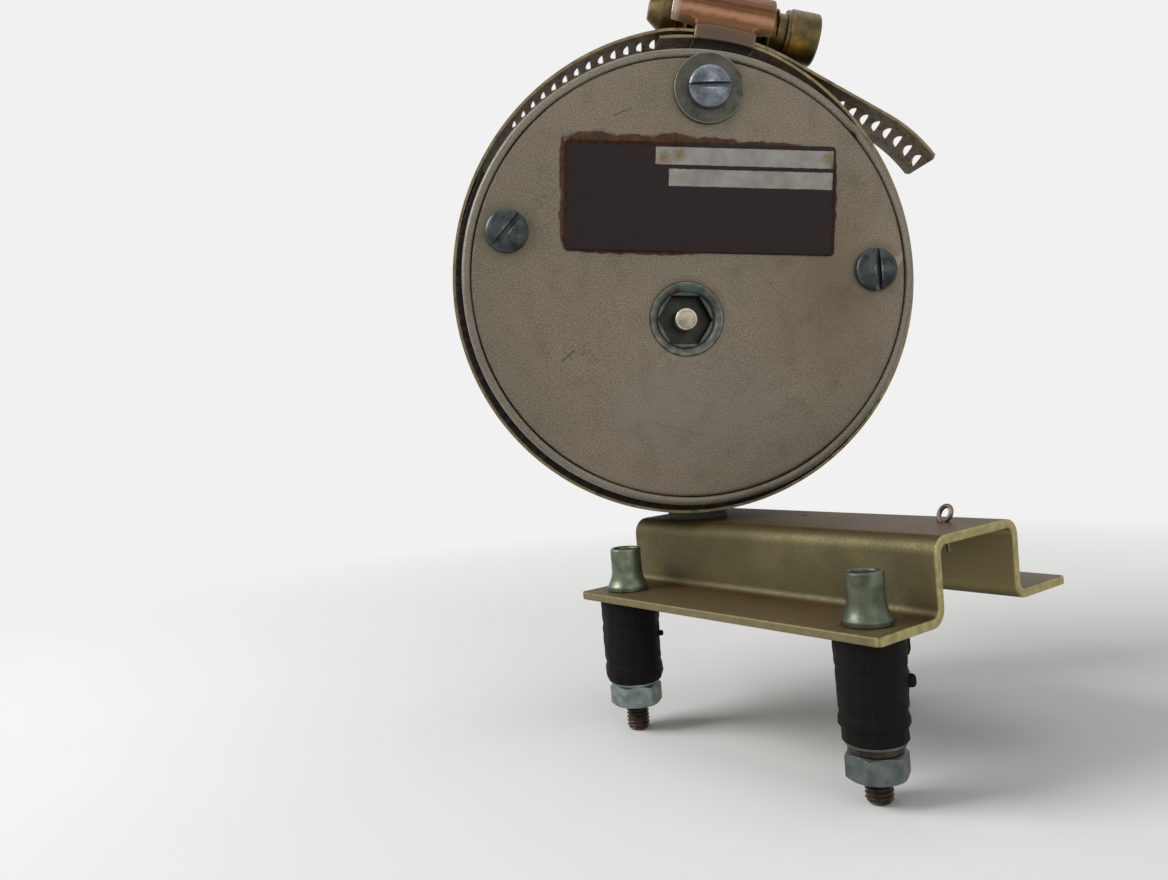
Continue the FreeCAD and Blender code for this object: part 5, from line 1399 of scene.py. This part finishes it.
def speckled(name, main, shadow, spot, share, size=0.8, metallic=0.0, rough=0.5):
    """Two tones that drift over 4 mm, spots of size mm by share, and a fine grain in the surface."""
    material, coords = new_finish(name, metallic, rough)
    spots = patches(coords, size, 4.0, 0.52, 0.68, 0.6)
    base = layered(mixed(patches(coords, 4.0, 3.0), shadow, main), (spots, spot, share))
    stained = spread(spots, rough, min(rough + 0.2, 0.95))
    return surfaced(material, base, stained, noise(coords, 0.35, 3.0), 0.015)


grey_cast = worn_metal("grey anodised aluminium", "#5E615C", "#474A46", "#A3A59F", "#3C3D38", 0.5, 0.5, 0.5)
bare_aluminium = worn_metal("bare machined aluminium", "#B3B4B2", "#8F908E", "#D5D6D4", "#7C7B76", 0.3)
port_brass = worn_metal("brass of the static port", "#A8935A", "#7F6D3F", "#D6C48A", "#5E5536", 0.5)
steel = worn_metal("plain screw steel", "#9A9C9D", "#6F7173", "#C6C8C9", "#57524A", 0.4)
rivet_steel = worn_metal("riveted strip steel", "#7A7263", "#544C3F", "#A79E88", "#4A3B2A", 0.6)
bronze = worn_metal("beryllium bronze of the capsule", "#B08D57", "#8C6D40", "#D8BE8A", "#6B5433", 0.2)
iron = worn_metal("soft iron", "#6E6F70", "#4F5051", "#9B9C9D", "#5A3F2C", 0.3)
gold = worn_metal("gold plated contacts", "#D1A94B", "#A98533", "#EFD58C", "#8A6D33", 0.2, 0.95, 0.28)
wire = speckled("enamelled copper wire", "#7A3A1C", "#5C2913", "#A35A2E", 0.4, 0.4, 0.3, 0.35)
laminate = speckled("brown paper laminate", "#6B4A26", "#573A1D", "#80592F", 0.5, 1.2, 0.0, 0.45)
insert_plastic = speckled("green moulded resin", "#3F4C3D", "#333E32", "#556352", 0.4, 1.0, 0.0, 0.45)
pad_plastic = speckled("dark pressed fibre", "#35322C", "#28261F", "#4A453A", 0.5, 0.9, 0.0, 0.7)
seal = moulded_rubber("black seal rubber", "#161615", "#2A2826", 0.4)

SOFTENED = {
    "connector_shell": (grey_cast, "connector_grey", 0.3), "static_port": (port_brass, "port_brass", 0.25),
    "clamp_pad": (pad_plastic, "insert_plastic", 0.25), "connector_screws": (steel, "steel_screw", 0.15),
    "clamp_rivet": (rivet_steel, "band_steel", 0.2),
    "connector_insert": (insert_plastic, "insert_plastic", 0.15),
}
for node, (finish, slot, width) in SOFTENED.items():
    softened(node + "_softened", node, finish, width)

PLAIN = {
    bronze: ["capsule_front", "capsule_rear", "capsule_stem"], wire: ["clutch_coil", "pickup_coil"],
    iron: ["clutch_disc", "clutch_magnet", "pickup_vane", "pickup_core"], laminate: ["terminal_board"],
    bare_aluminium: ["pickup_foot", "inner_plate", "board_spacers"], steel: ["inner_screws", "board_screws"],
    gold: ["connector_pins"], seal: ["cover_seal"],
}
for finish, names in PLAIN.items():
    for name in names:
        nodes[name].data.materials.clear()
        nodes[name].data.materials.append(finish)
print("softened:", len(SOFTENED), "plain:", sum(len(names) for names in PLAIN.values()))

# %% [markdown]
# The object stands on a pale floor in plain studio light: one large soft lamp from the left,
# as in the photograph, a weaker one from the right, one from above, and a dim world. The
# pale background is the world's colour as the camera and mirrors see it, so it puts no
# extra light on the object.

# %% Floor, world and lamps
BACKGROUND = "#F1F1F1"
FLOOR_HALF, FLOOR_DROP, FLOOR_POINTS = 1200.0, 0.2, 9
FADE_START, FADE_END = 0.12, 0.34
LAMPS_AIM = (0.02, 0.02, 0.08)


def seen_directly(tree):
    """1 for rays from the camera, from mirrors and through holes, 0 for those that carry light."""
    rays = add(tree, "ShaderNodeLightPath").outputs
    return most(rays["Is Camera Ray"], rays["Is Glossy Ray"], rays["Is Transmission Ray"])


def blended(tree, share, first, second, end):
    """Mixes two shaders by a share and feeds the result to the tree's last node."""
    both = add(tree, "ShaderNodeMixShader", {0: share, 1: first.outputs[0], 2: second.outputs[0]})
    feed(tree.nodes[end].inputs["Surface"], both.outputs[0])


def studio_floor():
    """A smooth pale sheet that keeps shadows near the object and fades to the background away from it."""
    material, coords = new_finish("pale studio floor", 0.0, 0.9)
    tree, shader = material.node_tree, shader_of(material)
    feed(shader.inputs["Base Color"], mixed(noise(coords, 60.0), "#EFEEEC", "#F3F2F0"))
    far = times(between(vector("LENGTH", coords), FADE_START, FADE_END), seen_directly(tree))
    glow = add(tree, "ShaderNodeEmission", {"Color": BACKGROUND, "Strength": 1.0})
    blended(tree, far, shader, glow, "Material Output")
    return material


def lamp(name, place, size, watts):
    """A square soft lamp at a place in metres, turned to face the object."""
    data = bpy.data.lights.new(name, "AREA")
    data.size, data.energy = size, watts
    shape = shown(name, data)
    shape.location = place
    shape.rotation_euler = (Vector(LAMPS_AIM) - Vector(place)).to_track_quat("-Z", "Y").to_euler()


u, v = np.meshgrid(*[np.linspace(-FLOOR_HALF, FLOOR_HALF, FLOOR_POINTS)] * 2, indexing="ij")
sheet = np.stack([u, v, 0 * u - FLOOR_DROP], -1).reshape(-1, 3)
sheet_faces = quads(FLOOR_POINTS, FLOOR_POINTS, closed_columns=False)[:, ::-1]
floor = shown("floor", mesh_of("floor", (sheet, sheet_faces)))
floor.data.materials.append(studio_floor())

world = bpy.data.worlds.new("studio")
world.use_nodes = True
bpy.context.scene.world = world
tree = world.node_tree
dim = add(tree, "ShaderNodeBackground", {"Color": "#F4F6F8", "Strength": 0.25})
bright = add(tree, "ShaderNodeBackground", {"Color": BACKGROUND, "Strength": 1.0})
blended(tree, seen_directly(tree), dim, bright, "World Output")

lamp("key from the left", (-0.30, -0.45, 0.50), 0.40, 3.9)
lamp("fill from the right", (0.60, -0.15, 0.30), 0.60, 1.05)
lamp("top", (0.05, 0.15, 0.75), 0.60, 0.9)
bpy.context.scene.view_settings.view_transform = "Standard"
print("lamps:", [light.name for light in bpy.data.lights])
